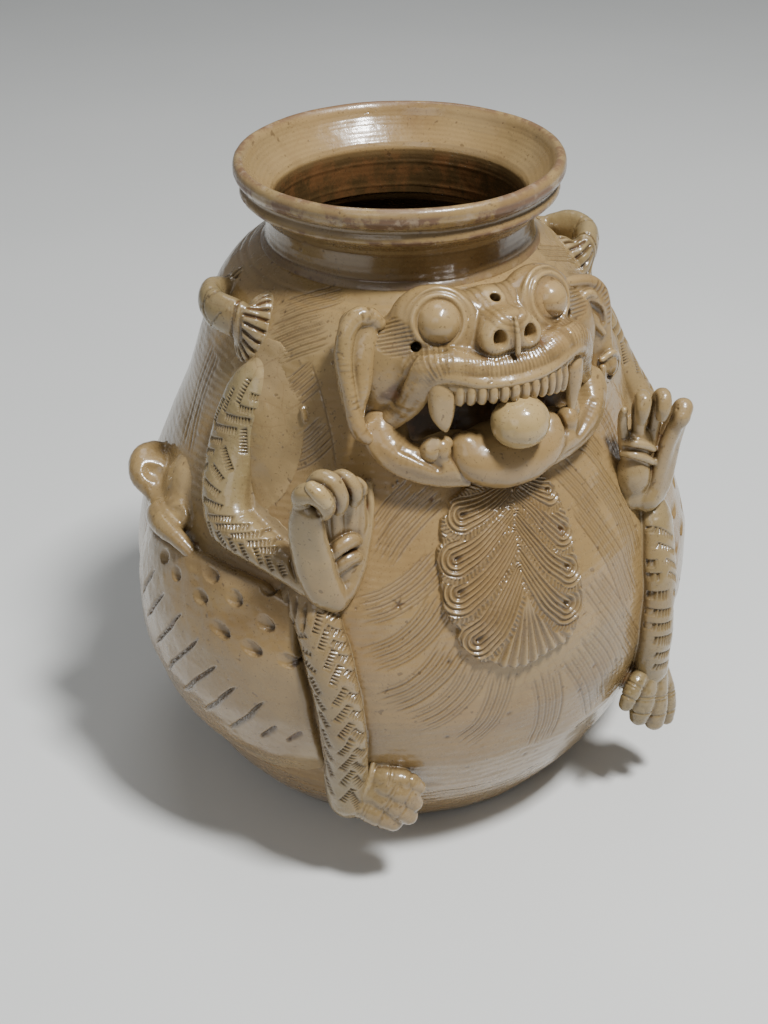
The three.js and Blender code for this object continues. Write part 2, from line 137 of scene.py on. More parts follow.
def glaze(name, light=(0.300, 0.192, 0.078), dark=(0.055, 0.031, 0.012), green=(0.252, 0.194, 0.086), pale=(0.415, 0.290, 0.134), brown=(0.158, 0.082, 0.032), greenness=0.45, paleness=0.7, gloss=0.0):
    M = Mat(name)
    geo = M.add("ShaderNodeTexCoord").outputs["Object"]
    def noise(scale, detail=4.0, rough=0.55, dist=0.0):
        nd = M.add("ShaderNodeTexNoise", Scale=scale, Detail=detail, Roughness=rough, Distortion=dist); M.link(geo, nd.inputs["Vector"]); return nd.outputs["Fac"]
    def step(x, a, b): return M.ramp(x, [(a, (0, 0, 0)), (b, (1, 1, 1))])
    cav = M.add("ShaderNodeAttribute", attribute_name="cav").outputs["Fac"]
    wear = M.add("ShaderNodeAttribute", attribute_name="wear").outputs["Fac"]
    thin = M.add("ShaderNodeAttribute", attribute_name="thin").outputs["Fac"]
    sep = M.add("ShaderNodeSeparateXYZ"); M.link(geo, sep.inputs[0])
    big = noise(8, 3); mid = noise(38, 5); fine = noise(420, 4, 0.7); blot = noise(17, 6, 0.65, 0.6)
    col = M.mix(M.math("MULTIPLY", step(big, 0.40, 0.62), greenness), light, green)
    col = M.mix(M.math("MULTIPLY", step(blot, 0.50, 0.68), 0.40), col, brown)
    col = M.mix(M.math("MULTIPLY", step(mid, 0.42, 0.72), 0.30), col, pale)
    # the vessel grows browner towards the bottom
    low = M.math("SUBTRACT", 1.0, M.math("MULTIPLY", sep.outputs["Z"], 7.5), clamp=True)
    col = M.mix(M.math("MULTIPLY", low, 0.35), col, brown)
    col = M.mix(M.math("MULTIPLY", thin, paleness), col, pale)
    # cav darkens the glaze: glaze pooled in grooves and marks, and painted shade inside the mouth, the throat, the
    # vessel and a few creases
    pooling_and_shade = M.math("POWER", cav, 0.8)
    col = M.mix(M.math("MULTIPLY", pooling_and_shade, 0.92), col, dark)
    sedim = M.math("MULTIPLY", step(cav, 0.45, 0.9), step(noise(52, 5, 0.7), 0.50, 0.60))
    col = M.mix(M.math("MULTIPLY", sedim, 0.65), col, (0.165, 0.075, 0.028))
    crackle = M.add("ShaderNodeTexVoronoi", feature="DISTANCE_TO_EDGE", Scale=95.0); 
    wob = M.add("ShaderNodeTexNoise", Scale=30.0, Detail=3.0); M.link(geo, wob.inputs["Vector"])
    vadd = M.n.new("ShaderNodeVectorMath"); vadd.operation = "MULTIPLY_ADD"; M.link(wob.outputs["Color"], vadd.inputs[0]); vadd.inputs[1].default_value = (0.012, 0.012, 0.012); M.link(geo, vadd.inputs[2])
    M.link(vadd.outputs[0], crackle.inputs["Vector"])
    ck = M.ramp(crackle.outputs["Distance"], [(0.0, (1, 1, 1)), (0.035, (0, 0, 0))])
    col = M.mix(M.math("MULTIPLY", M.math("MULTIPLY", ck, step(noise(14, 3), 0.52, 0.62)), 0.30), col, brown)
    sp = step(noise(1000, 2, 0.5), 0.64, 0.70)
    col = M.mix(M.math("MULTIPLY", sp, 0.45), col, (0.045, 0.026, 0.012))
    sp2 = step(noise(330, 2, 0.4), 0.70, 0.745)
    col = M.mix(M.math("MULTIPLY", sp2, 0.5), col, (0.050, 0.028, 0.014))
    rust = M.math("MULTIPLY", M.math("MULTIPLY", wear, 1.15), step(noise(75, 7, 0.72), 0.44, 0.52), clamp=True)
    col = M.mix(M.math("MULTIPLY", rust, 0.85), col, (0.115, 0.052, 0.024))
    col = M.mix(M.math("MULTIPLY", M.math("MULTIPLY", wear, step(noise(120, 5, 0.7), 0.56, 0.62)), 0.6), col, (0.35, 0.26, 0.17))
    M.link(col, M.b.inputs["Base Color"])
    rough = M.math("ADD", M.math("MULTIPLY", fine, 0.16), 0.17 - gloss)
    rough = M.math("ADD", rough, M.math("MULTIPLY", step(noise(22, 4), 0.45, 0.65), 0.07))
    M.link(M.math("ADD", rough, M.math("MULTIPLY", rust, 0.35)), M.b.inputs["Roughness"])
    M.b.inputs["IOR"].default_value = 1.5
    M.b.inputs["Coat Weight"].default_value = 0.55
    M.b.inputs["Coat Roughness"].default_value = 0.09
    M.b.inputs["Coat IOR"].default_value = 1.45
    h = M.math("ADD", M.math("MULTIPLY", noise(150, 4, 0.6), 0.75), M.math("MULTIPLY", noise(620, 3, 0.65), 0.22))
    h = M.math("SUBTRACT", h, M.math("MULTIPLY", sp2, 0.3))
    bump = M.add("ShaderNodeBump", Strength=0.34, Distance=0.0007)
    M.link(h, bump.inputs["Height"]); M.link(bump.outputs["Normal"], M.b.inputs["Normal"]); M.link(bump.outputs["Normal"], M.b.inputs["Coat Normal"])
    return M.m
mat_body = glaze("celadon_glaze")
mat_limb = glaze("celadon_glaze_greyer", light=(0.286, 0.194, 0.086), green=(0.248, 0.198, 0.094), pale=(0.415, 0.300, 0.148), brown=(0.155, 0.086, 0.034), greenness=0.8, paleness=0.6)
mat_mid = glaze("celadon_glaze_even", light=(0.335, 0.222, 0.096), green=(0.29, 0.222, 0.102), pale=(0.46, 0.33, 0.16), brown=(0.185, 0.10, 0.04), greenness=0.4, gloss=0.02)
mat_bright = glaze("celadon_glaze_thin", light=(0.39, 0.272, 0.118), green=(0.35, 0.28, 0.13), pale=(0.53, 0.395, 0.190), brown=(0.21, 0.118, 0.045), greenness=0.4, gloss=0.04)
# ------------------------------------------------------------------ the wall of the vessel, as a frame for what sits on it
PROF = np.array([[0, 80.5], [3, 84.6], [8, 88.4], [20, 96.9], [38, 107], [60, 115.7], [85, 120.1], [110, 118.8], [135, 113.1], [160, 101.6], [185, 90.6], [205, 84], [225, 76.4], [236, 68.5], [241, 62], [243.7, 57]])
ZT = np.linspace(0, 243.7, 2438)
RT = np.interp(ZT, PROF[:, 0], PROF[:, 1])
_k = np.exp(-0.5 * (np.arange(-60, 61) / 22.0) ** 2); _k /= _k.sum()
RT = np.convolve(np.r_[2 * RT[0] - RT[60:0:-1], RT, 2 * RT[-1] - RT[-2:-62:-1]], _k, mode="valid")
ST = np.gradient(RT, ZT)
AT = np.r_[0, np.cumsum(np.hypot(np.diff(RT), np.diff(ZT)))]
RREF = 110.0
def radius(z): return np.interp(z, ZT, RT)
def slope(z): return np.interp(z, ZT, ST)
def uv(az, z): return np.radians(az) * RREF, np.interp(z, ZT, AT)
def wall_frame(P):
    """(u, v, h): mm round the wall at the reference radius, mm along the profile, mm off the wall"""
    r = np.hypot(P[:, 0], P[:, 1]); z = np.clip(P[:, 2], 0, 243.7)
    s = slope(z); c = 1 / np.sqrt(1 + s * s)
    h = (r - radius(z)) * c
    z2 = np.clip(P[:, 2] - h * (-s) * c, 0, 243.7)      # foot of the perpendicular
    s = slope(z2); c = 1 / np.sqrt(1 + s * s)
    h = (r - radius(z2)) * c + (P[:, 2] - z2) * (-s) * c
    return np.stack([np.arctan2(P[:, 0], -P[:, 1]) * RREF, np.interp(z2, ZT, AT), h], -1)
def on_wall(az, z, h=0.0):
    az = np.radians(np.asarray(az, float)); z = np.asarray(z, float); s = slope(z); c = 1 / np.sqrt(1 + s * s)
    r = radius(z) + h * c
    return np.stack(np.broadcast_arrays(r * np.sin(az), -r * np.cos(az), z + h * (-s) * c), -1)
def W(*pts):
    """wall-frame points from (az, z, h) triples"""
    return np.array([[*uv(a, z), h] for a, z, h in pts], float)

# ------------------------------------------------------------------ signed distances
def smin(a, b, k):
    h = np.clip(k - np.abs(a - b), 0, None) / k
    return np.minimum(a, b) - h * h * k * 0.25
def smax(a, b, k): return -smin(-a, -b, k)
def basis(axis, up=(0, 0, 1)):
    """columns: x', y', z' with z' along axis"""
    z = np.asarray(axis, float); z = z / np.linalg.norm(z)
    x = np.cross(up, z)
    if np.linalg.norm(x) < 1e-6: x = np.cross((0, 1, 0), z)
    x /= np.linalg.norm(x); return np.stack([x, np.cross(z, x), z], -1)
def ell(P, c, r, B=None):
    q = P - np.asarray(c, float)
    if B is not None: q = q @ B
    r = np.asarray(r, float); k0 = np.linalg.norm(q / r, axis=1); k1 = np.linalg.norm(q / (r * r), axis=1)
    return np.where(k1 > 1e-9, k0 * (k0 - 1) / np.maximum(k1, 1e-9), -r.min())
def ball(P, c, r): return np.linalg.norm(P - np.asarray(c, float), axis=1) - r
def rbox(P, c, half, rr, B=None):
    q = P - np.asarray(c, float)
    if B is not None: q = q @ B
    d = np.abs(q) - (np.asarray(half, float) - rr)
    return np.linalg.norm(np.maximum(d, 0), axis=1) + np.minimum(d.max(1), 0) - rr
def spline(pts, n=8):
    """Catmull-Rom through rows of any width, centripetal enough for short given lists"""
    p = np.asarray(pts, float)
    if len(p) < 3: return np.array([p[0] + (p[-1] - p[0]) * t for t in np.linspace(0, 1, n + 1)])
    q = np.vstack([2 * p[0] - p[1], p, 2 * p[-1] - p[-2]]); out = []
    for i in range(1, len(q) - 2):
        for t in np.linspace(0, 1, n, endpoint=False):
            a, b, c, d = q[i - 1], q[i], q[i + 1], q[i + 2]
            out.append(0.5 * ((2 * b) + (-a + c) * t + (2 * a - 5 * b + 4 * c - d) * t * t + (-a + 3 * b - 3 * c + d) * t ** 3))
    out.append(p[-1]); return np.array(out)
def near(P, q, R, reach=12.0):
    """a lower bound of the distance for far points, and the rows that need the exact one"""
    far = np.linalg.norm(np.maximum(np.maximum(q[:, :3].min(0) - P, P - q[:, :3].max(0)), 0), axis=1) - R
    return far, np.where(far < reach)[0]
def tube(P, pts, n=5, want=False):
    """rows of pts are (x, y, z, r); returns the distance, and where wanted the arc length of the nearest point and the
    whole length
    """
    q = spline(pts, n); far, ix = near(P, q, q[:, 3].max()); whole = P; P = P[ix]
    best = np.full(len(P), 1e9); at = np.zeros(len(P)); s0 = 0.0
    for a, b in zip(q[:-1], q[1:]):
        d = b[:3] - a[:3]; L2 = float(d @ d)
        if L2 < 1e-12: continue
        w = P - a[:3]; t = np.clip(w @ d / L2, 0, 1)
        dist = np.linalg.norm(w - t[:, None] * d, axis=1) - (a[3] + (b[3] - a[3]) * t)
        m = dist < best; best = np.where(m, dist, best)
        if want: at = np.where(m, s0 + t * math.sqrt(L2), at)
        s0 += math.sqrt(L2)
    far[ix] = best
    if not want: return far
    at2 = np.zeros(len(whole)); at2[ix] = at
    return far, at2, s0
def strap(Q, pts, n=5, want=False):
    """wall-frame tube with an elliptical section; rows are (u, v, h, half width, half height)"""
    q = spline(pts, n); far, ix = near(Q, q, max(q[:, 3].max(), q[:, 4].max())); whole = Q; Q = Q[ix]
    best = np.full(len(Q), 1e9); at = np.zeros(len(Q)); side = np.zeros(len(Q)); s0 = 0.0
    for a, b in zip(q[:-1], q[1:]):
        d = b[:3] - a[:3]; L2 = float(d @ d)
        if L2 < 1e-12: continue
        w = Q - a[:3]; t = np.clip(w @ d / L2, 0, 1); rem = w - t[:, None] * d
        ww = a[3] + (b[3] - a[3]) * t; tt = a[4] + (b[4] - a[4]) * t
        T = np.hypot(rem[:, 0], rem[:, 1]); H = rem[:, 2]
        k0 = np.sqrt((T / ww) ** 2 + (H / tt) ** 2); k1 = np.sqrt((T / ww ** 2) ** 2 + (H / tt ** 2) ** 2)
        dist = np.where(k1 > 1e-6, k0 * (k0 - 1) / np.maximum(k1, 1e-6), -np.minimum(ww, tt))
        m = dist < best; best = np.where(m, dist, best)
        if want:
            at = np.where(m, s0 + t * math.sqrt(L2), at)
            side = np.where(m, (d[0] * w[:, 1] - d[1] * w[:, 0]) / math.hypot(d[0], d[1]) / ww, side)
        s0 += math.sqrt(L2)
    far[ix] = best
    if not want: return far
    at2 = np.zeros(len(whole)); at2[ix] = at; side2 = np.zeros(len(whole)); side2[ix] = side
    return far, at2, side2, s0

# ------------------------------------------------------------------ noise that repeats from run to run
_G = np.random.default_rng(11).standard_normal((32, 32, 32))
def noise3(P, scale, seed=0.0):
    q = P / scale + 17.3 * (seed + 1); i = np.floor(q).astype(int); f = q - i; f = f * f * (3 - 2 * f); out = 0
    for dx in (0, 1):
        for dy in (0, 1):
            for dz in (0, 1):
                w = (f[:, 0] if dx else 1 - f[:, 0]) * (f[:, 1] if dy else 1 - f[:, 1]) * (f[:, 2] if dz else 1 - f[:, 2])
                out = out + w * _G[(i[:, 0] + dx) % 32, (i[:, 1] + dy) % 32, (i[:, 2] + dz) % 32]
    return out

# ------------------------------------------------------------------ from a distance function to a closed mesh
def sdf_mesh(f, lo, hi, h, relax=1):
    """f takes (N, 3) points in mm; the surface lies between the corners lo and hi; h is the cell"""
    lo = np.asarray(lo, float) - 2 * h; hi = np.asarray(hi, float) + 2 * h
    B = 8; n = (np.ceil((hi - lo) / h / B).astype(int)) * B + 0
    nb = n // B
    bi = np.stack(np.meshgrid(*[np.arange(k) for k in nb], indexing="ij"), -1).reshape(-1, 3)
    cen = lo + (bi * B + (B - 1) / 2) * h
    d = f(cen)
    rad = B * h * 0.9
    act = bi[np.abs(d) < rad * 1.5 + 1.0]
    A = np.full(n, 3 * h, dtype=np.float32)
    # sign of the inactive blocks
    full = d.reshape(nb)
    A[:] = np.repeat(np.repeat(np.repeat(np.clip(full, -3 * h, 3 * h), B, 0), B, 1), B, 2)
    off = np.stack(np.meshgrid(*[np.arange(B)] * 3, indexing="ij"), -1).reshape(-1, 3)
    CH = 1500
    for s in range(0, len(act), CH):
        blk = act[s:s + CH]
        idx = (blk[:, None, :] * B + off[None]).reshape(-1, 3)
        v = f(lo + idx * h)
        A[idx[:, 0], idx[:, 1], idx[:, 2]] = np.clip(v, -3 * h, 3 * h)
    A[0], A[-1], A[:, 0], A[:, -1], A[:, :, 0], A[:, :, -1] = (3 * h,) * 6
    g = openvdb.FloatGrid(); g.background = float(3 * h); g.copyFromArray(A)
    V, F = g.convertToQuads(isovalue=0.0)
    V = np.asarray(V, float) * h + lo; F = np.asarray(F)
    for _ in range(relax):       # one Newton step onto the surface
        e = 0.25 * h
        f0 = f(V)
        gr = np.stack([f(V + np.array([e, 0, 0])) - f0, f(V + np.array([0, e, 0])) - f0, f(V + np.array([0, 0, e])) - f0], -1) / e
        g2 = (gr ** 2).sum(1)
        step = np.clip(f0 / np.maximum(g2, 0.15), -0.5 * h, 0.5 * h)
        V = V - step[:, None] * gr
    return V, F
def normals(V, F):
    N = np.zeros_like(V)
    a, b, c, d = (V[F[:, i]] for i in range(4))
    fn = np.cross(c - a, d - b)
    for i in range(4): np.add.at(N, F[:, i], fn)
    return N / np.maximum(np.linalg.norm(N, axis=1), 1e-12)[:, None]
def outward(V, F):
    a, b, c, d = (V[F[:, i]] for i in range(4))
    vol = (np.einsum("ij,ij->i", a, np.cross(b, c)) + np.einsum("ij,ij->i", a, np.cross(c, d))).sum()
    return F if vol > 0 else F[:, ::-1]
# ------------------------------------------------------------------ the beast's head (given for x > 0 and mirrored)
EYE = np.array([22.2, -80.0, 243.0]); EYE_N = np.array([0.30, -0.86, 0.40]); EYE_N = EYE_N / np.linalg.norm(EYE_N)
EYE_B = basis(EYE_N); NOSE_B = basis((0, -0.975, 0.22))
LIP = [(43.0, -77.2, 203.4, 2.2), (40.6, -78.6, 208.0, 3.2), (38.4, -80.0, 213.0, 4.4), (36.4, -81.8, 218.3, 5.6), (33.4, -84.4, 224.6, 6.8), (29.2, -86.9, 228.2, 7.4), (24, -89.4, 229.4, 7.3), (18.5, -91.8, 228.6, 6.9), (12.5, -93.8, 227.6, 6.4), (6, -95.2, 227.0, 6.1), (0, -95.6, 226.8, 6.0)]
LIP_ROLL = [(42.6, -79.2, 203.8, 0.9), (38.8, -81.6, 207.4, 1.4), (35.4, -84.4, 212.2, 1.7), (33.8, -87.4, 218.0, 1.8), (33.2, -89.4, 222.8, 1.8), (31.0, -91.8, 226.2, 1.8), (27.2, -94.4, 227.6, 1.8), (22.5, -96.8, 227.0, 1.8), (17, -98.8, 225.6, 1.8), (10.5, -100.7, 224.9, 1.8), (4.5, -101.7, 224.6, 1.8), (0, -101.9, 224.5, 1.8)]
TONGUE = [(17.4, -93.5, 197.0, 5.8), (16.6, -95.4, 193.0, 7.0), (12.5, -97.0, 190.0, 8.0), (6, -98.0, 188.0, 8.5), (0, -98.4, 187.6, 8.6)]
JAW = [(44.0, -73.5, 205.0, 4.4), (45.4, -76.5, 201.5, 5.6), (44.6, -79.5, 198.0, 6.2), (40.0, -84.5, 194.0, 6.4), (33.5, -89.2, 191.6, 6.2), (24.5, -92.8, 189.6, 6.2), (12, -94.5, 188.0, 6.2), (0, -95, 187.5, 6.2)]
def sym(P):
    Q = P.copy(); Q[:, 0] = np.abs(Q[:, 0]); return Q
def sym_left(P):
    """the viewer's left half of the mouth sits a little closer to the middle"""
    Q = np.abs(P[:, 0]); k = np.clip((Q - 12) / 20, 0, 1) * np.clip((234 - P[:, 2]) / 8, 0, 1) * (P[:, 0] < 0)
    R = P.copy(); R[:, 0] = Q + 2.4 * k * np.clip((50 - Q) / 10, 0, 1); return R
CREASE = [(56.0, -75.0, 211.0, 0.8), (51.5, -77.8, 212.6, 1.1), (47.0, -79.6, 215.2, 1.25), (43.4, -81.2, 218.5, 1.1), (40.8, -83.0, 223.0, 0.9), (37.6, -84.4, 229.5, 0.9), (32.5, -85.0, 236.0, 1.1), (24.5, -89.5, 236.6, 0.9)]
def off_wall(P, sink=1.3):
    r = np.hypot(P[:, 0], P[:, 1]); z = np.clip(P[:, 2], 0, 243.7)
    return -(r - radius(z)) * 0.9 - sink
TEETH = [(x, -102.4 + 0.0128 * x * x, 2.2) for x in (2.05, 6.1, 10.1, 14.0, 17.7, 21.2)]
def head_f(P):
    Q = sym_left(P)
    d = ell(Q, (0, -64, 224), (41, 22, 20))
    d = smin(d, ell(Q, (0, -73.5, 224), (37, 23, 18)), 8)
    d = smin(d, ell(Q, (37.5, -67, 220), (13.5, 13.5, 21)), 8)
    d = smin(d, ell(Q, EYE - 6.8 * EYE_N + np.array([1.2, 0, 0.2]), (16.5, 13.6, 10.4), EYE_B), 5)
    d = smin(d, ell(Q, (0, -75.7, 239.0), (15, 12, 11.6)), 5)                     # forehead
    d = smin(d, tube(Q, [(0, -77, 241.5, 7.0), (0, -91, 240.0, 6.0)]), 4)          # bridge
    Qn = Q.copy(); Qn[:, 0] = Q[:, 0] * (1 + 0.034 * np.clip(Q[:, 2] - 235.5, 0, 16))
    nose = rbox(Qn, (0, -90.6, 239.9), (12.6, 7.9, 8.2), 6.6, NOSE_B)
    nose = smin(nose, ell(Q, (7.2, -93.6, 238.6), (4.6, 4.6, 4.8)), 3.0)
    nose = smax(nose, (Q - np.array([0, -98.4, 241.0])) @ np.array([0.08, -0.975, 0.22]), 2.2)
    d = smin(d, nose, 2.6)
    d = smin(d, tube(Q, [(0, -96.8, 247.0, 0.6), (0, -98.6, 243.0, 0.95), (0, -99.4, 238.5, 1.05), (0, -99.6, 234.8, 1.1)]), 1.3)
    d = smin(d, tube(Q, LIP), 2.0)
    # the lids: one close ring and a second, fainter one outside it
    q = (Q - EYE) @ EYE_B
    rr = np.hypot(q[:, 0], q[:, 1])
    d = smax(d, -(np.hypot(rr - 8.4, q[:, 2] - 3.0) - 0.8), 0.8)
    d = smin(d, np.hypot(rr - 9.5, q[:, 2] - 2.1) - 0.85, 1.6)
    ring2 = np.hypot(rr - 12.0, q[:, 2] - 0.9) - 0.75
    d = smin(d, ring2 + np.clip(q[:, 0] * 0.12, 0, 3), 2.2)
    # nostrils, holes
    d = smax(d, -ell(Q, (6.1, -97.5, 240.2), (2.5, 7.5, 3.3)), 0.9)
    d = smax(d, -tube(Q, [(0, -86, 254, 1.9), (0, -77, 243, 1.8)]), 0.8)
    d = smax(d, -tube(Q, [(33.5, -86, 238.6, 1.8), (29.0, -74, 231, 1.8)]), 0.8)
    # crease between the cheek and the lower jaw
    d = smax(d, -tube(Q, CREASE), 1.8)
    # the mouth
    cav = ell(Q, (0, -92, 210.5), (29.5, 26, 13.0))
    cav = smin(cav, ell(Q, (30.5, -88, 206.5), (7.5, 12, 8)), 3)
    d = smax(d, -cav, 1.4)
    d = smin(d, tube(Q, [(45.6, -75.6, 201.6, 3.2), (43.4, -77.2, 205.0, 3.3), (40.8, -79.0, 209.0, 3.6), (38.2, -81.0, 213.4, 4.2), (36.4, -82.8, 218.6, 5.0), (34.6, -84.8, 222.6, 5.2)]), 1.6)
    d = smin(d, tube(Q, LIP_ROLL), 2.0)
    return smax(d, off_wall(P), 0.3)
def comb(t, pitch, power=1.3): return (0.5 - 0.5 * np.cos(2 * np.pi * t / pitch)) ** power
def head_detail(V, N):
    Q = sym_left(V)
    dist, at, L = tube(Q, LIP, want=True)
    roll = tube(Q, LIP_ROLL)
    on = np.clip(1 - dist / 4.5, 0, 1) * np.clip((roll - 0.5) / 0.6, 0, 1) * np.clip((at + 1.5) / 3, 0, 1)
    g = comb(at + 0.35 * noise3(V, 7, 2), 1.42)
    on = on * (N[:, 1] < 0.3)
    dep = 0.30 * g * on
    # comb lines on the temple beside the eye
    Vl = V * np.array([1.0, 1, 1]); Vl[:, 0] = -np.abs(V[:, 0]); u = Vl @ (Y * 0.99 - X * 0.14)
    reg = np.clip(1 - np.hypot((Q[:, 0] - 38.5) / 7.0, (Q[:, 2] - 238.5) / 7.5), 0, 1)
    g2 = comb(u, 1.5, 1.4) * np.clip(reg * 4, 0, 1) * (N[:, 1] < -0.1)
    dep = dep + 0.36 * g2
    # rows of small stippled marks round the hole in the forehead
    r = np.hypot(Q[:, 0], (Q[:, 2] - 249.5) * 1.3)
    ang = np.arctan2(V[:, 0], V[:, 1] + 95)
    g3 = comb(r, 2.7, 2.0) * np.clip((12 - r) / 3, 0, 1) * np.clip((r - 3.0) / 1, 0, 1) * (N[:, 2] > -0.2) * (V[:, 1] < -70) * (0.35 + 0.65 * comb(ang * r, 1.6, 1.0))
    dep = dep + 0.2 * g3
    rust = np.clip(1.3 - tube(Q, CREASE[:5]) / 1.6, 0, 1) * (V[:, 0] < 0)
    # painted shade: the glaze is darkened deep inside the open mouth
    deep = np.clip(-(ell(Q, (0, -92, 210.5), (30.5, 27, 14.0))) / 1.5, 0, 1) * np.clip((Q[:, 1] + 91) / 5, 0, 1)
    return dep, np.clip(g * on * 0.5 + g2 * 0.8 + g3 * 0.5 + 0.6 * rust + 1.4 * deep, 0, 1.25), rust * 0.9
def jaw_f(P):
    Q = sym(P)
    d = tube(Q, JAW)
    d = smin(d, ell(Q, (0, -82, 192), (36, 14, 9)), 5)
    d = smin(d, ell(Q, (41, -74, 200), (9, 8, 8)), 4)
    d = smin(d, tube(Q, [(49.0, -77.0, 205, 1.5), (50.0, -79.0, 201.5, 1.9), (48.8, -82.0, 196.5, 2.1), (44.0, -86.5, 191.0, 2.1), (36, -91.5, 187.2, 2.1), (26, -95.2, 184.8, 2.0), (18, -97, 183.5, 1.8)]), 2.0)
    d = smax(d, -ell(Q, (0, -94, 207), (27.5, 24, 10.5)), 2)
    d = smax(d, -ell(Q, (34.5, -88, 204.5), (7.0, 11, 6.5)), 2)
    d = smin(d, ell(Q, (27.0, -92.5, 197.5), (4.0, 4.6, 5.0)), 1.6)
    d = smax(d, -tube(Q, [(41, -88.5, 199.5, 0.9), (34.5, -93.5, 196.0, 1.1), (30, -96.5, 192.5, 0.9)]), 2.6)
    d = smax(d, -(tongue_f(P) + 1.3), 0.6)
    return smax(d, off_wall(P), 0.3)
def jaw_detail(V, N):
    Q = sym(V); t = tube(Q, JAW, want=True)
    on = np.clip(1 - np.abs(Q[:, 0] - 40) / 8, 0, 1) * (N[:, 2] > 0.1)
    g = comb(t[1], 2.2, 2)
    # painted shade inside the open mouth; where the jaw meets the tongue a shallow groove is cut and darkened with
    # painted shadow
    deep = np.clip(-ell(Q, (0, -94, 207), (28, 24.5, 11.0)) / 1.5, 0, 1) * np.clip((Q[:, 1] + 90) / 5, 0, 1)
    tongue_crease_shade = np.clip(1 - np.abs(tongue_f(V)) / 1.5, 0, 1)
    return 0.06 * g * on + 0.7 * tongue_crease_shade, 0.2 * g * on + 1.2 * deep + 1.1 * tongue_crease_shade
EAR_RIM = [(41.0, -69.4, 242.0, 2.8), (43.8, -68.8, 244.6, 3.4), (48.6, -68.2, 245.4, 3.7), (53.0, -69.0, 242.0, 3.5), (55.2, -70.8, 236.0, 3.1), (56.4, -73.0, 228.3, 2.9), (55.8, -75.6, 219.5, 2.8), (55.2, -77.8, 210.5, 3.0), (53.4, -79.2, 204.6, 3.3), (51.0, -79.8, 201.8, 2.6)]
def ear_f(P):
    d = tube(P, EAR_RIM)
    lobe = tube(P, [(43.8, -66.4, 242.0, 4.0), (45.6, -68.4, 237.4, 4.5), (47.8, -70.4, 231.5, 4.8), (49.6, -72.4, 225.0, 4.5), (51.2, -74.8, 218.5, 3.7), (53.0, -76.0, 211.5, 2.6), (53.4, -77.8, 206.5, 1.8)])
    d = smin(d, lobe, 0.9)
    d = smin(d, tube(P, [(48.4, -64.4, 240.5, 5.8), (51.2, -67.0, 231, 6.2), (53, -70.8, 219, 5.0), (53.6, -75.4, 208, 3.4)]), 1.2)
    return smax(d, off_wall(P), 0.3)
def ear_detail(V, N):
    rim = tube(V, EAR_RIM, want=True)
    on = np.clip(1 - rim[0] / 0.8, 0, 1) * (N[:, 1] < 0.0)
    w = np.clip(noise3(V, 4.5, 9) * 0.8, 0, 1)
    g = comb(rim[1] + 0.7 * noise3(V, 5, 4), 2.4, 4) * w
    return 0.22 * g * on + 0.10 * np.clip(noise3(V, 1.6, 5), 0, 1), 0.8 * g * on
# the right ear is curled in on itself, with a small ball in front of it and a knot of clay below
def ear2_f(P):
    rim = [(34.5, -70.5, 243.2, 1.8), (38.6, -68.6, 241.8, 2.4), (44.0, -67.4, 241.0, 2.6), (50.0, -67.0, 239.2, 2.7), (54.8, -66.8, 234.4, 2.7), (57.0, -67.0, 227.5, 2.6), (57.2, -67.6, 220.6, 2.5), (57.4, -69.5, 214.0, 2.4), (57.0, -72.5, 209.0, 2.2)]
    d = tube(P, rim)
    d = smin(d, tube(P, [(42.5, -65.0, 232.6, 7.8), (49.4, -64.6, 229, 7.8), (52.4, -65.2, 219, 6.8), (54, -67.5, 210, 5.0), (54, -71, 204, 4.5)]), 2)
    curl = [(44.2, -71.0, 225.8, 1.2), (42.6, -71.8, 229.6, 1.5), (42.2, -71.8, 233.4, 1.7), (44.6, -71.0, 236.4, 1.8), (48.2, -70.2, 236.0, 1.8), (50.2, -70.0, 232.6, 1.6), (49.0, -70.4, 230.0, 1.2)]
    d = smin(d, tube(P, curl), 0.6)
    d = smin(d, tube(P, [(47.4, -71.0, 228.6, 1.2), (50.5, -71.8, 223.6, 1.3), (54.0, -72.2, 219.0, 1.1)]), 0.6)
    d = smax(d, -tube(P, [(47.3, -72.8, 232.6, 1.5), (51.8, -71.5, 228.4, 1.7), (54.0, -71.5, 223.6, 1.2)]), 0.9)
    d = smin(d, ball(P, (43.8, -75.6, 221.0), 3.0), 0.6)
    d = smax(d, -ball(P, (51.2, -74.6, 214.6), 2.1), 0.8)
    # knot: an almond between two folds
    d = smin(d, ell(P, (57.8, -72.5, 204.5), (3.4, 3.2, 4.6)), 0.6)
    d = smin(d, tube(P, [(52.6, -74.6, 209.0, 1.3), (57.6, -74.0, 210.6, 1.4), (62.2, -70.6, 205.6, 1.5), (61.6, -70.0, 199.6, 1.5), (57.0, -72.2, 197.6, 1.4), (53.0, -75.0, 201.6, 1.4), (52.6, -75.6, 206.0, 1.3)]), 0.5)
    return smax(d, off_wall(P), 0.3)
def ear2_detail(V, N):
    d, at, L = tube(V, [(50.0, -67.0, 239.2, 2.7), (54.8, -66.8, 234.4, 2.7), (57.0, -67.0, 227.5, 2.6), (57.2, -67.6, 220.6, 2.5)], want=True)
    on = np.clip(1 - d / 1.2, 0, 1) * (N[:, 1] < -0.1) * (N[:, 0] < 0.5)
    g = comb(at, 2.1, 3)
    return 0.35 * g * on, 0.9 * g * on
def tongue_f(P):
    Q = sym(P)
    d = tube(Q, TONGUE)
    d = smin(d, ell(Q, (0, -92, 193.0), (21, 12.5, 9.5)), 4)
    d = smax(d, -ell(P, PEARL, (11.7, 11.0, 10.2)), 1.0)
    return d
PEARL = np.array([0.4, -102.6, 207.6])
def pearl_f(P): return ell(P, PEARL, (11.3, 10.6, 9.8))
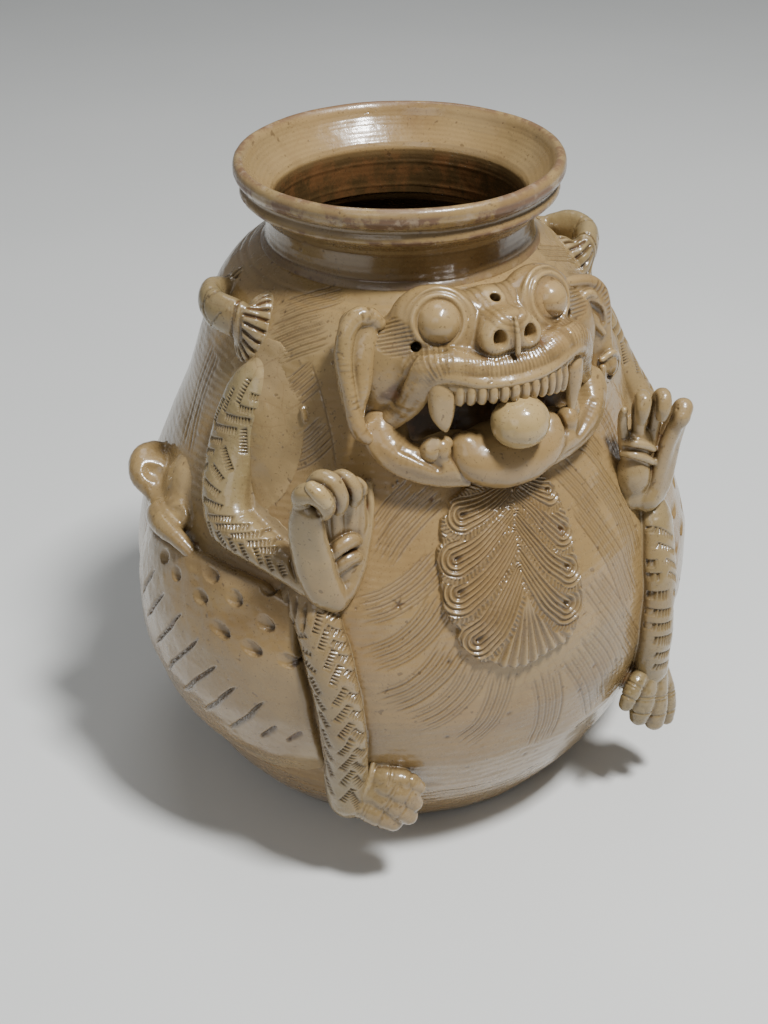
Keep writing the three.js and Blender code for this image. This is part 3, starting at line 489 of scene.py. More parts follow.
def teeth_f(P):
    Q = sym(P); d = np.full(len(P), 1e9)
    for x, y, w in TEETH:
        for sg in (-1, 1):
            B = basis((2 * 0.0128 * x * sg, -1, 0.05)); zb = 216.6 - 0.0045 * x * x - 0.095 * x * sg; zt = 224.4 + 0.0035 * x * x; zc = 0.5 * (zb + zt); hh = 0.5 * (zt - zb)
            c = (x * sg, y + 0.6, zc)
            t = smin(rbox(P, (c[0], c[1] + 0.5, c[2]), (w * 0.84, hh, 1.9), 1.6, B), ell(P, c, (w * 0.96, hh + 0.4, 2.6), B), 0.8)
            d = smin(d, t, 0.5)
    gum = tube(Q, [(27.5, -89.9, 223.8, 3.0), (22, -94.2, 224.0, 2.8), (11, -98.0, 223.2, 2.8), (0, -99.4, 223.0, 2.8)])
    back = tube(P, [(26.5, -90.6, 216.8, 1.6), (20, -94.4, 217.4, 1.7), (10.5, -98.2, 218.6, 1.7), (0, -99.6, 219.2, 1.7), (-10.5, -98.2, 219.4, 1.7), (-20, -94.4, 219.2, 1.7), (-26.5, -90.6, 219.2, 1.6)])
    return smin(smin(d, gum, 0.9), back, 0.5)
def fang_f(P):
    d = tube(P, [(26.6, -90.4, 224.0, 4.8), (26.6, -92.0, 219.0, 5.2), (26.9, -92.8, 214.2, 4.7), (26.7, -93.6, 210.2, 3.3), (26.2, -94.4, 207.0, 1.4)])
    return smax(d, (P - np.array([27.0, -96.7, 214.0])) @ np.array([0.30, -0.95, 0.06]), 1.2)
def fang2_f(P):
    return smin(tube(P, [(29.0, -88.0, 221.0, 4.0), (28.8, -90.8, 217.5, 4.0), (28.8, -91.6, 212.0, 3.3), (28.6, -92.2, 206.5, 2.4), (28.4, -92.6, 201.5, 1.4)]), ell(P, (28.6, -90, 219.6), (4.2, 4.2, 4.2)), 2)
def low_fang_f(P):
    d = tube(P, [(30.4, -88.0, 193.0, 4.4), (30.2, -91.2, 197.4, 4.4), (29.6, -92.6, 200.6, 3.0)])
    d = smax(d, (P - np.array([30.0, -95.8, 199.0])) @ np.array([0.45, -0.75, 0.48]), 0.5)
    d = smax(d, (P - np.array([27.0, -94.6, 199.0])) @ np.array([-0.80, -0.50, 0.33]), 0.5)
    return smin(d, ell(P, (25.2, -92.4, 199.6), (3.0, 2.8, 2.8)), 0.8)
def low_fang2_f(P):
    return tube(P, [(31.4, -87.0, 194.0, 3.6), (31.0, -89.4, 199.0, 3.0), (30.6, -90.4, 203.0, 1.8)])
def eye2_f(P): return ball(P, EYE + np.array([1.3, 0.7, -0.7]), 7.5)
def eye_f(P): return ball(P, EYE, 8.1)
# ------------------------------------------------------------------ limbs: given for the viewer's left (x < 0), mirrored for the right
def WS(rows): return np.array([[*uv(a, z), h, w, t] for a, z, h, w, t in rows], float)
def CY(rows): return [(R * math.sin(math.radians(a)), -R * math.cos(math.radians(a)), z, r) for a, z, R, r in rows]
def seat(Q, d, k, sink=1.2):
    """fillet a piece onto the wall and keep only the piece and its fillet"""
    h = Q[:, 2]
    return np.maximum(np.maximum(smin(d, h + 0.12, k), -(h + sink)), d - 1.02 * k)
def stamps(Q, marks, A=0.6, W=2.3, pitch=1.36, side=1):
    """toothed stamp marks: a crisp line with a row of fine teeth hanging from it"""
    out = np.zeros(len(Q))
    for (a0, z0), (a1, z1) in marks:
        a = np.array(uv(a0, z0)); b = np.array(uv(a1, z1)); d = b - a; L = math.hypot(*d); d = d / L
        w = Q[:, :2] - a; t = w @ d; s = side * (d[0] * w[:, 1] - d[1] * w[:, 0])
        m = (t > -0.9) & (t < L + 0.9) & (s > -1.2) & (s < W + 0.8)
        if not m.any(): continue
        t, s = t[m], s[m]; n = max(3, round(L / pitch)); p = L / n
        end = np.clip((t + 0.5) / 0.5, 0, 1) * np.clip((L + 0.5 - t) / 0.5, 0, 1)
        line = 0.42 * np.exp(-((s - 0.05) / 0.30) ** 2)
        teeth = (0.5 - 0.5 * np.cos(2 * np.pi * t / p)) ** 1.2 * np.clip(1.05 - s / W, 0, 1) ** 0.6 * np.clip(s / 0.25 + 0.6, 0, 1) * (s > -0.4)
        slope_ = 0.18 * np.clip(1 - s / W, 0, 1) * (s > 0)
        out[m] = np.maximum(out[m], A * end * np.maximum(line, 1.0 * teeth + 1.7 * slope_))
    return out
def cuts(Q, marks, A=0.8, w=0.55, taper=0.3):
    out = np.zeros(len(Q))
    for (a0, z0), (a1, z1) in marks:
        a = np.array(uv(a0, z0)); b = np.array(uv(a1, z1)); d = b - a; L = math.hypot(*d); d = d / L
        q = Q[:, :2] - a; t = q @ d; s = d[0] * q[:, 1] - d[1] * q[:, 0]
        e = np.clip(np.minimum(t, L - t) / (taper * L), 0, 1) if taper else np.clip(np.minimum(t, L - t) / 0.8 + 1, 0, 1)
        out = np.maximum(out, A * e ** 0.6 * np.exp(-(s / (w * (0.5 + 0.5 * e))) ** 2))
    return out

ARM = WS([(-68.0, 208.5, -2.0, 10, 5), (-69.4, 200.4, 0.2, 13.6, 6.6), (-70.4, 189.4, 0.9, 14.4, 7.4), (-69.6, 177, 1.8, 13.2, 7.9), (-67.4, 165.5, 3.0, 11.4, 8.4), (-63.8, 157.0, 4.0, 9.8, 8.4), (-57.8, 153.4, 4.4, 8.0, 7.8), (-51.2, 150.2, 4.4, 6.8, 7.0), (-46.2, 147.0, 4.4, 6.2, 6.6), (-42.6, 143.8, 4.2, 5.6, 6.4)])
ARM_MARKS = [((-66.6, 209.7), (-67.5, 199.8)), ((-70.4, 204.4), (-71.5, 194.7)), ((-73.1, 199.3), (-74.0, 189.2)), ((-76.3, 192.1), (-75.9, 185.3)), ((-65.4, 205.3), (-59.1, 204.3)), ((-67.5, 200.1), (-61.2, 200.0)), ((-70.8, 195.1), (-64.1, 196.1)), ((-74.0, 189.5), (-66.7, 191.5)), ((-74.4, 183.7), (-69.8, 185.8)), ((-75.2, 178.3), (-71.2, 180.2)), ((-75.2, 171.7), (-71.9, 174.6)), ((-58.3, 203.7), (-58.5, 194.9)), ((-61.1, 199.4), (-61.1, 189.3)), ((-64.6, 192.3), (-63.4, 182.7)), ((-68.2, 183.5), (-64.7, 176.1)), ((-69.8, 175.6), (-65.8, 172.3)), ((-70.9, 169.2), (-65.4, 167.5)), ((-69.7, 163.1), (-63.9, 163.4)), ((-66.8, 158.1), (-60.9, 161.1)), ((-64.2, 156.3), (-57.3, 160.3)), ((-60.2, 155.0), (-54.3, 159.3)), ((-56.3, 154.6), (-51.3, 157.6)), ((-53.4, 153.7), (-49.9, 155.2)), ((-67.2, 155.2), (-65.7, 149.9)), ((-63.9, 153.3), (-61.6, 148.8)), ((-60.7, 153.1), (-59.0, 148.5)), ((-57.9, 152.6), (-56.2, 147.4)), ((-54.7, 152.8), (-52.7, 147.4)), ((-52.0, 151.3), (-50.3, 146.0)), ((-49.0, 149.3), (-47.6, 145.4))]
ARM_CUTS = [((-47.1, 152.7), (-44.7, 144.7)), ((-45.6, 149.6), (-42.2, 143.2))]
def arm_f(P):
    Q = wall_frame(P)
    d = strap(Q, ARM, 5)
    inner = np.clip((Q[:, 0] - uv(-66, 180)[0]) / 14, 0, 1) * np.clip((Q[:, 1] - uv(0, 150)[1]) / 14, 0, 1)
    return seat(Q, d, 1.3 + 4.0 * inner)
def pad_f(P):
    """the smooth swelling of the shoulder beside the foreleg"""
    Q = wall_frame(P); c = np.array([*uv(-66.0, 192), -1.8]); q = (Q - c) / np.array([18.0, 21.5, 6.2])
    return seat(Q, (np.linalg.norm(q, axis=1) - 1) * 6.0, 4.2)
def arm_detail(V, N):
    Q = wall_frame(V); m = (Q[:, 2] > 0.9)
    a = stamps(Q, ARM_MARKS[:4] + ARM_MARKS[11:16], 0.98, 2.9, side=-1) * m
    b = stamps(Q, ARM_MARKS[4:11], 0.98, 2.7, side=-1) * m
    c = stamps(Q, ARM_MARKS[16:23], 0.98, 2.5, side=-1) * m; e = stamps(Q, ARM_MARKS[23:], 0.98, 2.5) * m
    k = cuts(Q, ARM_CUTS, 1.0, 0.8) * m
    d = np.maximum.reduce([a, b, c, e, k])
    return d, np.clip(d / 0.9, 0, 1) * 0.66

LEG = WS([(-44.5, 141.5, -0.5, 7.0, 4.5), (-42.0, 134, 2.6, 8.8, 6.5), (-39.4, 120, 3.4, 8.8, 7.2), (-37.4, 103, 3.6, 8.6, 7.2), (-36.2, 85, 3.8, 8.3, 7.2), (-36.0, 68, 4.6, 8.1, 7.1), (-36.4, 56, 6.4, 8.1, 7.1), (-36.0, 47, 9.0, 7.8, 7.6)])
LEG_L = [((-40.4, 136.5), (-41.3, 128.2)), ((-38.9, 131.5), (-40.2, 122.2)), ((-37.4, 124.1), (-39.0, 115.0)), ((-36.2, 117.9), (-37.9, 109.0)), ((-35.2, 109.5), (-37.5, 101.2)), ((-34.5, 102.1), (-37.3, 93.6)), ((-34.2, 93.8), (-36.7, 86.4)), ((-34.1, 87.3), (-36.9, 79.0)), ((-33.9, 79.7), (-36.8, 70.2)), ((-34.2, 70.2), (-36.9, 62.7)), ((-34.4, 61.7), (-37.3, 54.1))]
LEG_R = [((-39.0, 136.9), (-36.7, 134.2)), ((-38.3, 131.7), (-35.4, 128.7)), ((-37.2, 126.6), (-34.0, 122.9)), ((-36.1, 121.0), (-33.1, 117.6)), ((-34.7, 114.6), (-32.3, 110.2)), ((-34.1, 106.2), (-31.6, 100.8)), ((-33.5, 97.9), (-31.4, 93.6)), ((-33.2, 89.5), (-31.6, 84.5)), ((-33.0, 81.5), (-31.6, 76.3)), ((-33.3, 73.6), (-31.9, 67.2)), ((-33.3, 65.7), (-32.2, 60.2)), ((-34.2, 58.0), (-32.9, 49.9))]
LEG_S = [((-45.7, 123.8), (-42.1, 126.4)), ((-47.6, 126.7), (-45.0, 130.0)), ((-43.6, 119.9), (-41.2, 119.0)), ((-42.9, 115.3), (-40.4, 112.4)), ((-41.8, 110.0), (-39.8, 104.8)), ((-40.9, 103.2), (-39.0, 97.5)), ((-40.1, 95.9), (-38.5, 89.7)), ((-39.8, 87.5), (-38.3, 81.5)), ((-39.6, 79.2), (-38.2, 73.7)), ((-39.6, 70.8), (-38.4, 64.7)), ((-40.0, 62.1), (-38.7, 55.9))]
LEG_CUTS = [((-47.6, 139.4), (-47.1, 130.5)), ((-45.1, 139.0), (-45.2, 131.7)), ((-42.8, 138.2), (-43.1, 127.5))]
def shrink(k, f):
    a, b = np.array(k[0]), np.array(k[1]); c = (a + b) / 2
    return (tuple(c + (a - c) * f), tuple(c + (b - c) * f))
def leg_f(P):
    Q = wall_frame(P)
    d = strap(Q, LEG, 5)
    c = np.array([*uv(-45.5, 134.5), -0.8]); q = (Q - c) / np.array([10.0, 9.0, 5.6])
    d = smin(d, (np.linalg.norm(q, axis=1) - 1) * 5.5, 3)
    return seat(Q, d, 1.6)
def leg_detail(V, N):
    Q = wall_frame(V); m = Q[:, 2] > 1.8
    d = np.maximum.reduce([stamps(Q, [shrink(k, 0.86) for k in LEG_L], 0.94, 2.7, side=1), stamps(Q, [shrink(k, 1.15) for k in LEG_R], 0.94, 2.6, side=-1), stamps(Q, LEG_S, 0.85, 2.3, side=1), cuts(Q, LEG_CUTS, 1.2, 0.85)]) * m
    _, at, side, L = strap(Q, LEG, 5, want=True)
    shade = 0.9 * np.clip((-side - 0.78) / 0.2, 0, 1) * (Q[:, 2] < 6) * (at > 12)
    return d, np.clip(np.maximum(d / 0.9 * 0.62, shade), 0, 1)
# the right leg, given for x > 0
LEG2 = WS([(44.5, 141.5, -0.5, 7.0, 4.5), (41.6, 134, 2.6, 9.0, 6.5), (38.8, 120, 3.4, 9.2, 7.0), (37.0, 103, 3.6, 9.0, 7.0), (35.8, 88, 4.0, 8.8, 7.2), (36.0, 76, 5.0, 8.6, 7.4), (36.6, 67, 6.4, 8.0, 7.4)])
LEG2_L = [((31, 148.1), (35.7, 147.5)), ((30.6, 142), (36.5, 141.5)), ((30.6, 136.7), (35.9, 136.2)), ((31.2, 130.9), (35.6, 129.7)), ((31.4, 124.4), (35.9, 122.1)), ((31.2, 118.6), (35.7, 116.3)), ((30.9, 110.9), (36.7, 108)), ((31.2, 103.4), (37.2, 99.3)), ((31.3, 96.4), (37.6, 92.4)), ((31.3, 90.0), (38, 85.8)), ((31.6, 83.4), (38.2, 79.4)), ((32.0, 76.6), (38.2, 73.2))]
LEG2_R = [((a + 0.5, z - 0.5), (a + 4.4, z - 8.5)) for a, z in [(35.9, 136.2), (35.6, 129.7), (35.9, 122.1), (35.7, 116.3), (36.7, 108), (37.2, 99.3), (37.6, 92.4), (38, 85.8), (38.2, 79.4)]]
def leg2_f(P):
    Q = wall_frame(P)
    d = strap(Q, LEG2, 5)
    c = np.array([*uv(45.5, 134.5), -0.8]); q = (Q - c) / np.array([10.0, 9.0, 5.6])
    d = smin(d, (np.linalg.norm(q, axis=1) - 1) * 5.5, 3)
    return seat(Q, d, 1.6)
def leg2_detail(V, N):
    Q = wall_frame(V); m = Q[:, 2] > 1.8
    d = np.maximum(stamps(Q, [((a[0] + 0.5, a[1] - 0.3), (a[0] + 0.74 * (b[0] - a[0]), a[1] + 0.74 * (b[1] - a[1]))) for a, b in LEG2_L], 1.15, 3.3, side=-1), stamps(Q, LEG2_R, 0.9, 2.3, side=-1)) * m
    return d, np.clip(d / 0.9, 0, 1) * 0.62
FOOT_T = [[(-68.5, -95.0, 43.5, 6.4), (-64.2, -100.4, 41.6, 6.9), (-59.6, -105.2, 39.4, 6.4), (-55.8, -108.2, 36.2, 4.8)],
          [(-62.5, -98.8, 47.4, 5.8), (-56.8, -105.4, 46.4, 6.2), (-52.8, -109.0, 43.0, 5.6), (-49.8, -110.8, 39.0, 4.2)],
          [(-60.8, -99.2, 51.2, 5.2), (-55.0, -105.6, 52.6, 5.7), (-50.4, -109.2, 49.6, 5.2), (-47.4, -110.8, 45.0, 4.0)],
          [(-62.0, -97.0, 54.0, 4.4), (-55.6, -104.0, 56.0, 4.6), (-49.0, -108.2, 55.0, 4.2), (-44.4, -109.8, 51.0, 3.0)]]
FOOT_T2 = [[(66.5, -102.5, 67, 3.4), (61.8, -105.2, 65, 3.8), (58.6, -106.4, 60.8, 3.8), (56.8, -106.6, 56.2, 3.2)],
           [(70.2, -101.3, 64.5, 5.0), (68.0, -103.0, 56.6, 5.7), (66.8, -104.0, 49.6, 5.4), (65.8, -104.4, 44.6, 4.3)],
           [(76.6, -98.2, 61.5, 5.2), (75.8, -100.8, 52.2, 5.8), (75.2, -102.6, 44.4, 5.6), (74.7, -103.8, 38.2, 4.4)],
           [(82.0, -94.0, 57.0, 4.4), (83.4, -97.0, 48.0, 4.8), (83.8, -99.4, 40.0, 4.4), (83.6, -100.8, 34.4, 3.3)]]
def foot_any(P, toes, mass, knuckle):
    Q = wall_frame(P); d = np.full(len(P), 1e9)
    for c, r in mass: d = smin(d, ell(P, c, r), 4)
    for i, t in enumerate(toes):
        e = tube(P, t, 4)
        a = np.array(t[1][:3]); b = np.array(t[2][:3]); dirn = (b - a) / np.linalg.norm(b - a)
        near = np.clip(2.2 - np.linalg.norm(P - a, axis=1) / t[1][3], 0, 1); near2 = np.clip(2.2 - np.linalg.norm(P - b, axis=1) / t[2][3], 0, 1)
        s = (P - a) @ dirn; s2 = (P - b) @ dirn
        e = e + 0.5 * np.exp(-((s - 0.4) / 0.5) ** 2) * near + 0.35 * np.exp(-((s - 1.9) / 0.4) ** 2) * near + 0.45 * np.exp(-((s2 - 1.4) / 0.5) ** 2) * near2
        d = smin(d, e, 1.0)
    return seat(Q, d, 1.6)
def foot_f(P):
    d = foot_any(P, FOOT_T, [((-62, -96, 48), (10, 9, 9)), ((-56, -101, 47), (9, 8, 8)), ((-70, -93, 46), (8, 8, 10))], None)
    # a raised cuff where the leg meets the paw
    return smin(d, tube(P, [(-60.0, -99.0, 61.0, 1.1), (-63.0, -101.8, 56.0, 1.6), (-67.5, -102.0, 49.0, 1.6), (-72.0, -98.8, 42.0, 1.1)]), 0.8)
def foot2_f(P): return foot_any(P, FOOT_T2, [((72, -95, 62), (9, 8, 9)), ((75, -97, 54), (9, 7, 10)), ((66, -100, 61), (7, 6, 7))], None)
def foot_detail(V, N):
    d = 0.10 * np.clip(noise3(V, 1.4, 6), 0, 1)
    return d, d * 2

# hands: upright plates, palm to the front; positive x here, mirrored for the viewer's left
def CW(rows): return [(*on_wall(a, z, h), r) for a, z, h, r in rows]
PALM_EDGE = CW([(32.6, 181, 1.0, 1.4), (32.2, 174, 1.2, 1.9), (32.3, 168.8, 1.4, 2.1), (32.7, 162.8, 1.6, 2.3), (33.5, 153.9, 2.0, 2.6), (34.6, 147.4, 2.4, 3.0), (36.2, 142.6, 3.2, 3.8), (38.6, 140.0, 4.2, 4.8)])
def hand_f(P):
    Q = wall_frame(P)
    bar = tube(P, [(71.0, -89.2, 141.6, 5.6), (74.6, -88.4, 146.0, 6.6), (77.2, -87.0, 153, 6.5), (79.0, -86.6, 161, 6.2), (80.4, -86.8, 170, 5.8), (81.0, -87.6, 178, 5.2), (80.6, -88.6, 184.0, 4.5)])
    face = tube(P, [(70.0, -91.6, 142.4, 3.6), (72.0, -91.4, 149, 3.6), (74.0, -91.0, 158, 3.6), (75.8, -91.0, 167, 3.6), (77.6, -91.6, 176, 3.7), (78.6, -92.2, 182.5, 3.6)])
    bar = smin(bar, face, 4.0)
    palm = tube(P, [(71.5, -83.5, 144, 5), (72.4, -83.4, 157, 4.6), (73.6, -83.6, 170, 4.3), (74.0, -83.8, 184, 4.2)])
    palm = smin(palm, tube(P, [(69, -83.8, 146, 5), (67.4, -83.8, 157, 4.6), (66.8, -83.6, 170, 4.2), (66.8, -83.6, 184, 4.0)]), 1.3)
    palm = smin(palm, tube(P, [(66, -84.6, 148, 4.6), (63.2, -84.6, 157, 4.3), (61.2, -83.6, 170, 3.9), (60.4, -83.4, 183, 3.6)]), 1.3)
    palm = smin(palm, tube(P, [(62, -87.0, 150, 3.8), (59.4, -86.0, 158, 3.3), (57.2, -84.6, 170, 2.9), (56.6, -83.8, 181, 2.6)]), 1.0)
    palm = smin(palm, PALM_MASS(P), 2.5)
    palm = smin(palm, tube(P, PALM_EDGE), 1.6)
    palm = smin(palm, tube(P, [(72.4, -87.6, 157.0, 1.8), (70.4, -89.0, 161.4, 2.7), (67.0, -89.8, 164.6, 3.0), (62.6, -89.2, 165.4, 2.9), (59.4, -87.4, 163.2, 2.0)]), 0.6)
    palm = smin(palm, tube(P, [(71.0, -88.6, 151.0, 2.0), (69.2, -89.6, 154.8, 2.8), (65.8, -90.4, 158.0, 3.1), (61.8, -90.0, 158.4, 2.7), (60.0, -89.0, 156.0, 2.0)]), 0.6)
    d = smin(palm, bar, 0.9)
    # fingers hook forward over the palm
    f1 = tube(P, [(80.6, -87.8, 186.0, 4.2), (81.2, -89.8, 190.4, 4.2), (79.0, -92.8, 192.6, 4.1), (76.0, -94.8, 190.6, 3.9), (74.4, -95.2, 187.0, 3.5), (74.6, -94.0, 183.8, 2.8)])
    f2 = tube(P, [(74.4, -84.6, 186, 3.4), (74.8, -86.0, 191.6, 3.6), (73.2, -88.8, 195.0, 3.6), (70.4, -91.6, 194.2, 3.6), (68.6, -93.0, 190.0, 3.4), (67.9, -92.9, 185.4, 3.0), (68.2, -91.8, 182.0, 2.4)])
    f3 = tube(P, [(67.0, -83.8, 185, 3.2), (66.4, -85.2, 190.4, 3.3), (64.4, -88.0, 192.6, 3.2), (61.8, -90.2, 190.2, 3.0), (60.9, -90.7, 186.4, 2.8), (61.3, -90.0, 182.8, 2.3)])
    f4 = tube(P, [(59.6, -83.4, 184, 2.4), (58.6, -85.4, 187.6, 2.4), (56.8, -86.8, 186.6, 2.2), (56.2, -86.6, 184.0, 1.8)])
    d = smin(d, f4, 0.5); d = smin(d, f3, 0.5); d = smin(d, f2, 0.5); d = smin(d, f1, 0.5)
    d = smax(d, -tube(P, [(87.0, -87.5, 186.4, 0.5), (84.6, -92.0, 188.0, 0.7), (80.4, -95.2, 187.2, 0.8), (77.2, -95.8, 184.4, 0.7)]), 0.6)
    for x in (84.6, 86.0): d = smax(d, -tube(P, [(x, -92.6 + (x - 84.6) * 1.2, 183.4, 0.25), (x + 0.2, -92.2 + (x - 84.6) * 1.2, 186.2, 0.3)]), 0.3)
    d = smax(d, -ball(P, (68.4, -95.0, 180.6), 1.6), 0.4)
    d = smax(d, -tube(P, [(71.4, -96.0, 196.0, 0.4), (69.6, -97.4, 193.4, 0.5), (69.2, -97.6, 191.0, 0.4)]), 0.4)
    return np.maximum(d, -(Q[:, 2] + 1.2))
def PALM_MASS(P):
    return ell(P, (64.5, -86.5, 151), (8.5, 5.0, 11))
def hand_nail(P):
    return tube(P, [(79.4, -94.2, 196.0, 2.5), (77.4, -96.4, 193.8, 3.1), (75.4, -97.4, 190.6, 2.6)])
def hand2_f(P):
    Q = wall_frame(P)
    d = ell(P, (65.4, -84.5, 158), (7.2, 7.0, 11.5))                                                       # heel of the hand
    d = smin(d, ell(P, (68, -86.0, 147.5), (7.6, 5.0, 5.2)), 2.5)
    d = smin(d, ell(P, (66.8, -83.4, 171), (7.6, 5.4, 8.5)), 2)
    bar = tube(P, [(70.5, -87.0, 146.5, 5.6), (75.2, -85.6, 149.5, 6.0), (78.4, -84.8, 157, 5.9), (80.2, -84.8, 167, 5.2), (82.4, -85.4, 176.5, 4.6), (83.8, -86.6, 183.4, 4.2), (83.0, -89.6, 187.4, 4.0), (81.0, -91.8, 185.4, 3.5)])
    face = tube(P, [(71.0, -90.0, 148, 3.0), (73.2, -89.2, 156, 3.0), (75.4, -89.0, 166, 3.0), (78.0, -89.6, 176, 3.0), (80.0, -90.6, 182, 3.0)])
    bar = smin(bar, face, 4.0)
    fb = tube(P, [(72.4, -84.6, 170, 3.0), (73.6, -84.0, 180, 3.0), (74.0, -84.6, 188, 3.3), (73.8, -86.8, 193.4, 3.5), (72.8, -89.8, 194.0, 3.4), (72.0, -91.2, 190.4, 3.2), (72.2, -90.6, 186.6, 2.5)])
    fc = tube(P, [(66.6, -84.4, 170, 2.9), (66.0, -84.0, 180, 3.0), (65.4, -84.6, 189.0, 3.3), (64.6, -87.0, 194.6, 3.4), (63.4, -89.6, 195.0, 3.3), (62.4, -90.8, 191.6, 3.1), (62.4, -90.4, 187.4, 2.4)])
    fd = tube(P, [(61.6, -83.4, 168, 2.6), (59.8, -82.8, 178, 2.2), (58.8, -83.0, 186, 1.9), (58.2, -84.6, 189.5, 1.6)])
    for t in (fd, fc, fb, bar): d = smin(d, t, 0.7)
    # two rings round the wrist
    d = smin(d, tube(P, [(59.6, -84.6, 175.0, 1.3), (62.0, -87.9, 175.4, 1.6), (66.4, -88.7, 173.8, 1.7), (71.4, -88.2, 170.6, 1.5)]), 1.1)
    d = smax(d, -tube(P, [(59.2, -85.4, 172.6, 0.6), (61.9, -89.1, 172.9, 0.8), (66.2, -89.9, 171.2, 0.8), (71.2, -89.4, 167.8, 0.7)]), 0.4)
    d = smin(d, tube(P, [(59.2, -84.8, 170.0, 1.4), (61.8, -88.3, 170.3, 1.7), (66.0, -89.3, 168.6, 1.8), (71.0, -89.0, 165.0, 1.5)]), 1.1)
    d = smax(d, -tube(P, [(59.0, -85.8, 167.4, 0.6), (61.6, -89.5, 167.7, 0.8), (65.8, -90.4, 166.0, 0.8), (70.6, -89.9, 162.6, 0.7)]), 0.4)
    d = smax(d, -tube(P, [(75.4, -91.6, 192.6, 0.5), (78.6, -91.2, 188.6, 0.6)]), 0.5)
    return np.maximum(d, -(Q[:, 2] + 1.2))

# the haunch: a broad low mound with a crisp upper and inner edge
HAUNCH = np.array([uv(a, z) for a, z in [(-150, 60), (-130, 110), (-108, 126), (-96, 131), (-86, 134.5), (-78, 138), (-69, 141), (-60, 141), (-52, 140), (-46.5, 136), (-45.4, 130), (-45.0, 118.3), (-42.6, 96.5), (-41.8, 75), (-41.5, 58), (-41.0, 30), (-60, 5), (-110, 5)]])
def poly_d(U, poly):
    """signed distance in the (u, v) plane, negative inside"""
    best = np.full(len(U), 1e18); inside = np.zeros(len(U), bool)
    for a, b in zip(poly, np.roll(poly, -1, 0)):
        e = b - a; w = U - a; t = np.clip(w @ e / (e @ e), 0, 1); q = w - t[:, None] * e
        best = np.minimum(best, (q ** 2).sum(1))
        c = ((a[1] > U[:, 1]) != (b[1] > U[:, 1])) & (U[:, 0] < (b[0] - a[0]) * (U[:, 1] - a[1]) / (b[1] - a[1] + 1e-12) + a[0])
        inside ^= c
    return np.where(inside, -1, 1) * np.sqrt(best)
def haunch_f(P):
    Q = wall_frame(P); c = uv(-64, 106)
    dx = Q[:, 0] - c[0]; dv = Q[:, 1] - c[1]
    q = (dx / np.where(dx < 0, 74.0, 66.0)) ** 2 + (dv / np.where(dv < 0, 74.0, 60.0)) ** 2
    H = 8.6 * np.clip(1 - q, 0, 1) ** 1.15 - 1.1 * np.clip(q - 0.55, 0, 0.45) / 0.45 - 0.0
    return np.maximum(smax((Q[:, 2] - H) * 0.95, poly_d(Q[:, :2], HAUNCH), 3.0), -(Q[:, 2] + 1.2 + 0.6 * np.clip(q - 0.8, 0, 1)))
PITS = [((-73.2, 128.9), (-75.2, 129.8)), ((-63.2, 135.9), (-66.4, 136.8)), ((-64.7, 127.2), (-67.6, 127.5)), ((-56.9, 131.5), (-59.4, 132.9)), ((-50.8, 137.7), (-52.8, 140.1)), ((-58.5, 117.2), (-62.0, 119.4)), ((-49.8, 125.1), (-52.4, 128.0)), ((-51.7, 114.1), (-54.9, 116.2)), ((-44.9, 112.9), (-47.6, 114.1)), ((-78.6, 131.6), (-80.9, 130.7))]
SLASH = [((-83.9, 118.6), (-89.1, 103.6)), ((-78.6, 114.0), (-85.6, 96.6)), ((-72.4, 111.0), (-81.1, 89.0)), ((-67.3, 105.4), (-77.1, 81.7)), ((-62.9, 97.8), (-72.5, 76.2)), ((-58.4, 91.7), (-66.6, 72.7)), ((-52.7, 88.2), (-60.9, 67.9)), ((-49.9, 79.3), (-53.4, 70.3)), ((-44.9, 78.7), (-47.8, 71.8))]
def haunch_detail(V, N):
    Q = wall_frame(V); dep = np.zeros(len(V)); dark = np.zeros(len(V))
    for (a0, z0), (a1, z1) in PITS:
        a, b = np.array(uv(a0, z0)), np.array(uv(a1, z1)); ax = (a - b) / np.linalg.norm(a - b); c = (a + b) / 2 - ax * 0.3
        L = np.linalg.norm(a - b) / 2 + 1.2
        w = Q[:, :2] - c; s = w @ ax / L; t = (ax[0] * w[:, 1] - ax[1] * w[:, 0]) / 2.7
        rho = s * s + t * t
        k = np.sqrt(np.clip(1 - rho, 0, 1)) ** 0.55 * np.clip((s + 1.05) / 2, 0, 1)
        dep = np.maximum(dep, 2.3 * k); dark = np.maximum(dark, (0.35 * k + np.clip((s - 0.45) * 3, 0, 1) * 0.9) * (rho < 1.15))
        dep = dep - 0.25 * np.exp(-((np.sqrt(rho) - 1.12) / 0.12) ** 2) * (s > 0.1)
    k = np.maximum(cuts(Q, [((a[0] + 0.22 * (a[0] - b[0]), a[1] + 0.22 * (a[1] - b[1])), b) for a, b in SLASH], 1.7, 0.62, 0.14), cuts(Q, [((a[0] + 0.9, a[1] + 0.8), (b[0] + 1.1, b[1] + 1.6)) for a, b in SLASH], 0.8, 0.5, 0.2))
    return np.maximum(dep, k), np.clip(np.maximum(dark, k), 0, 1)

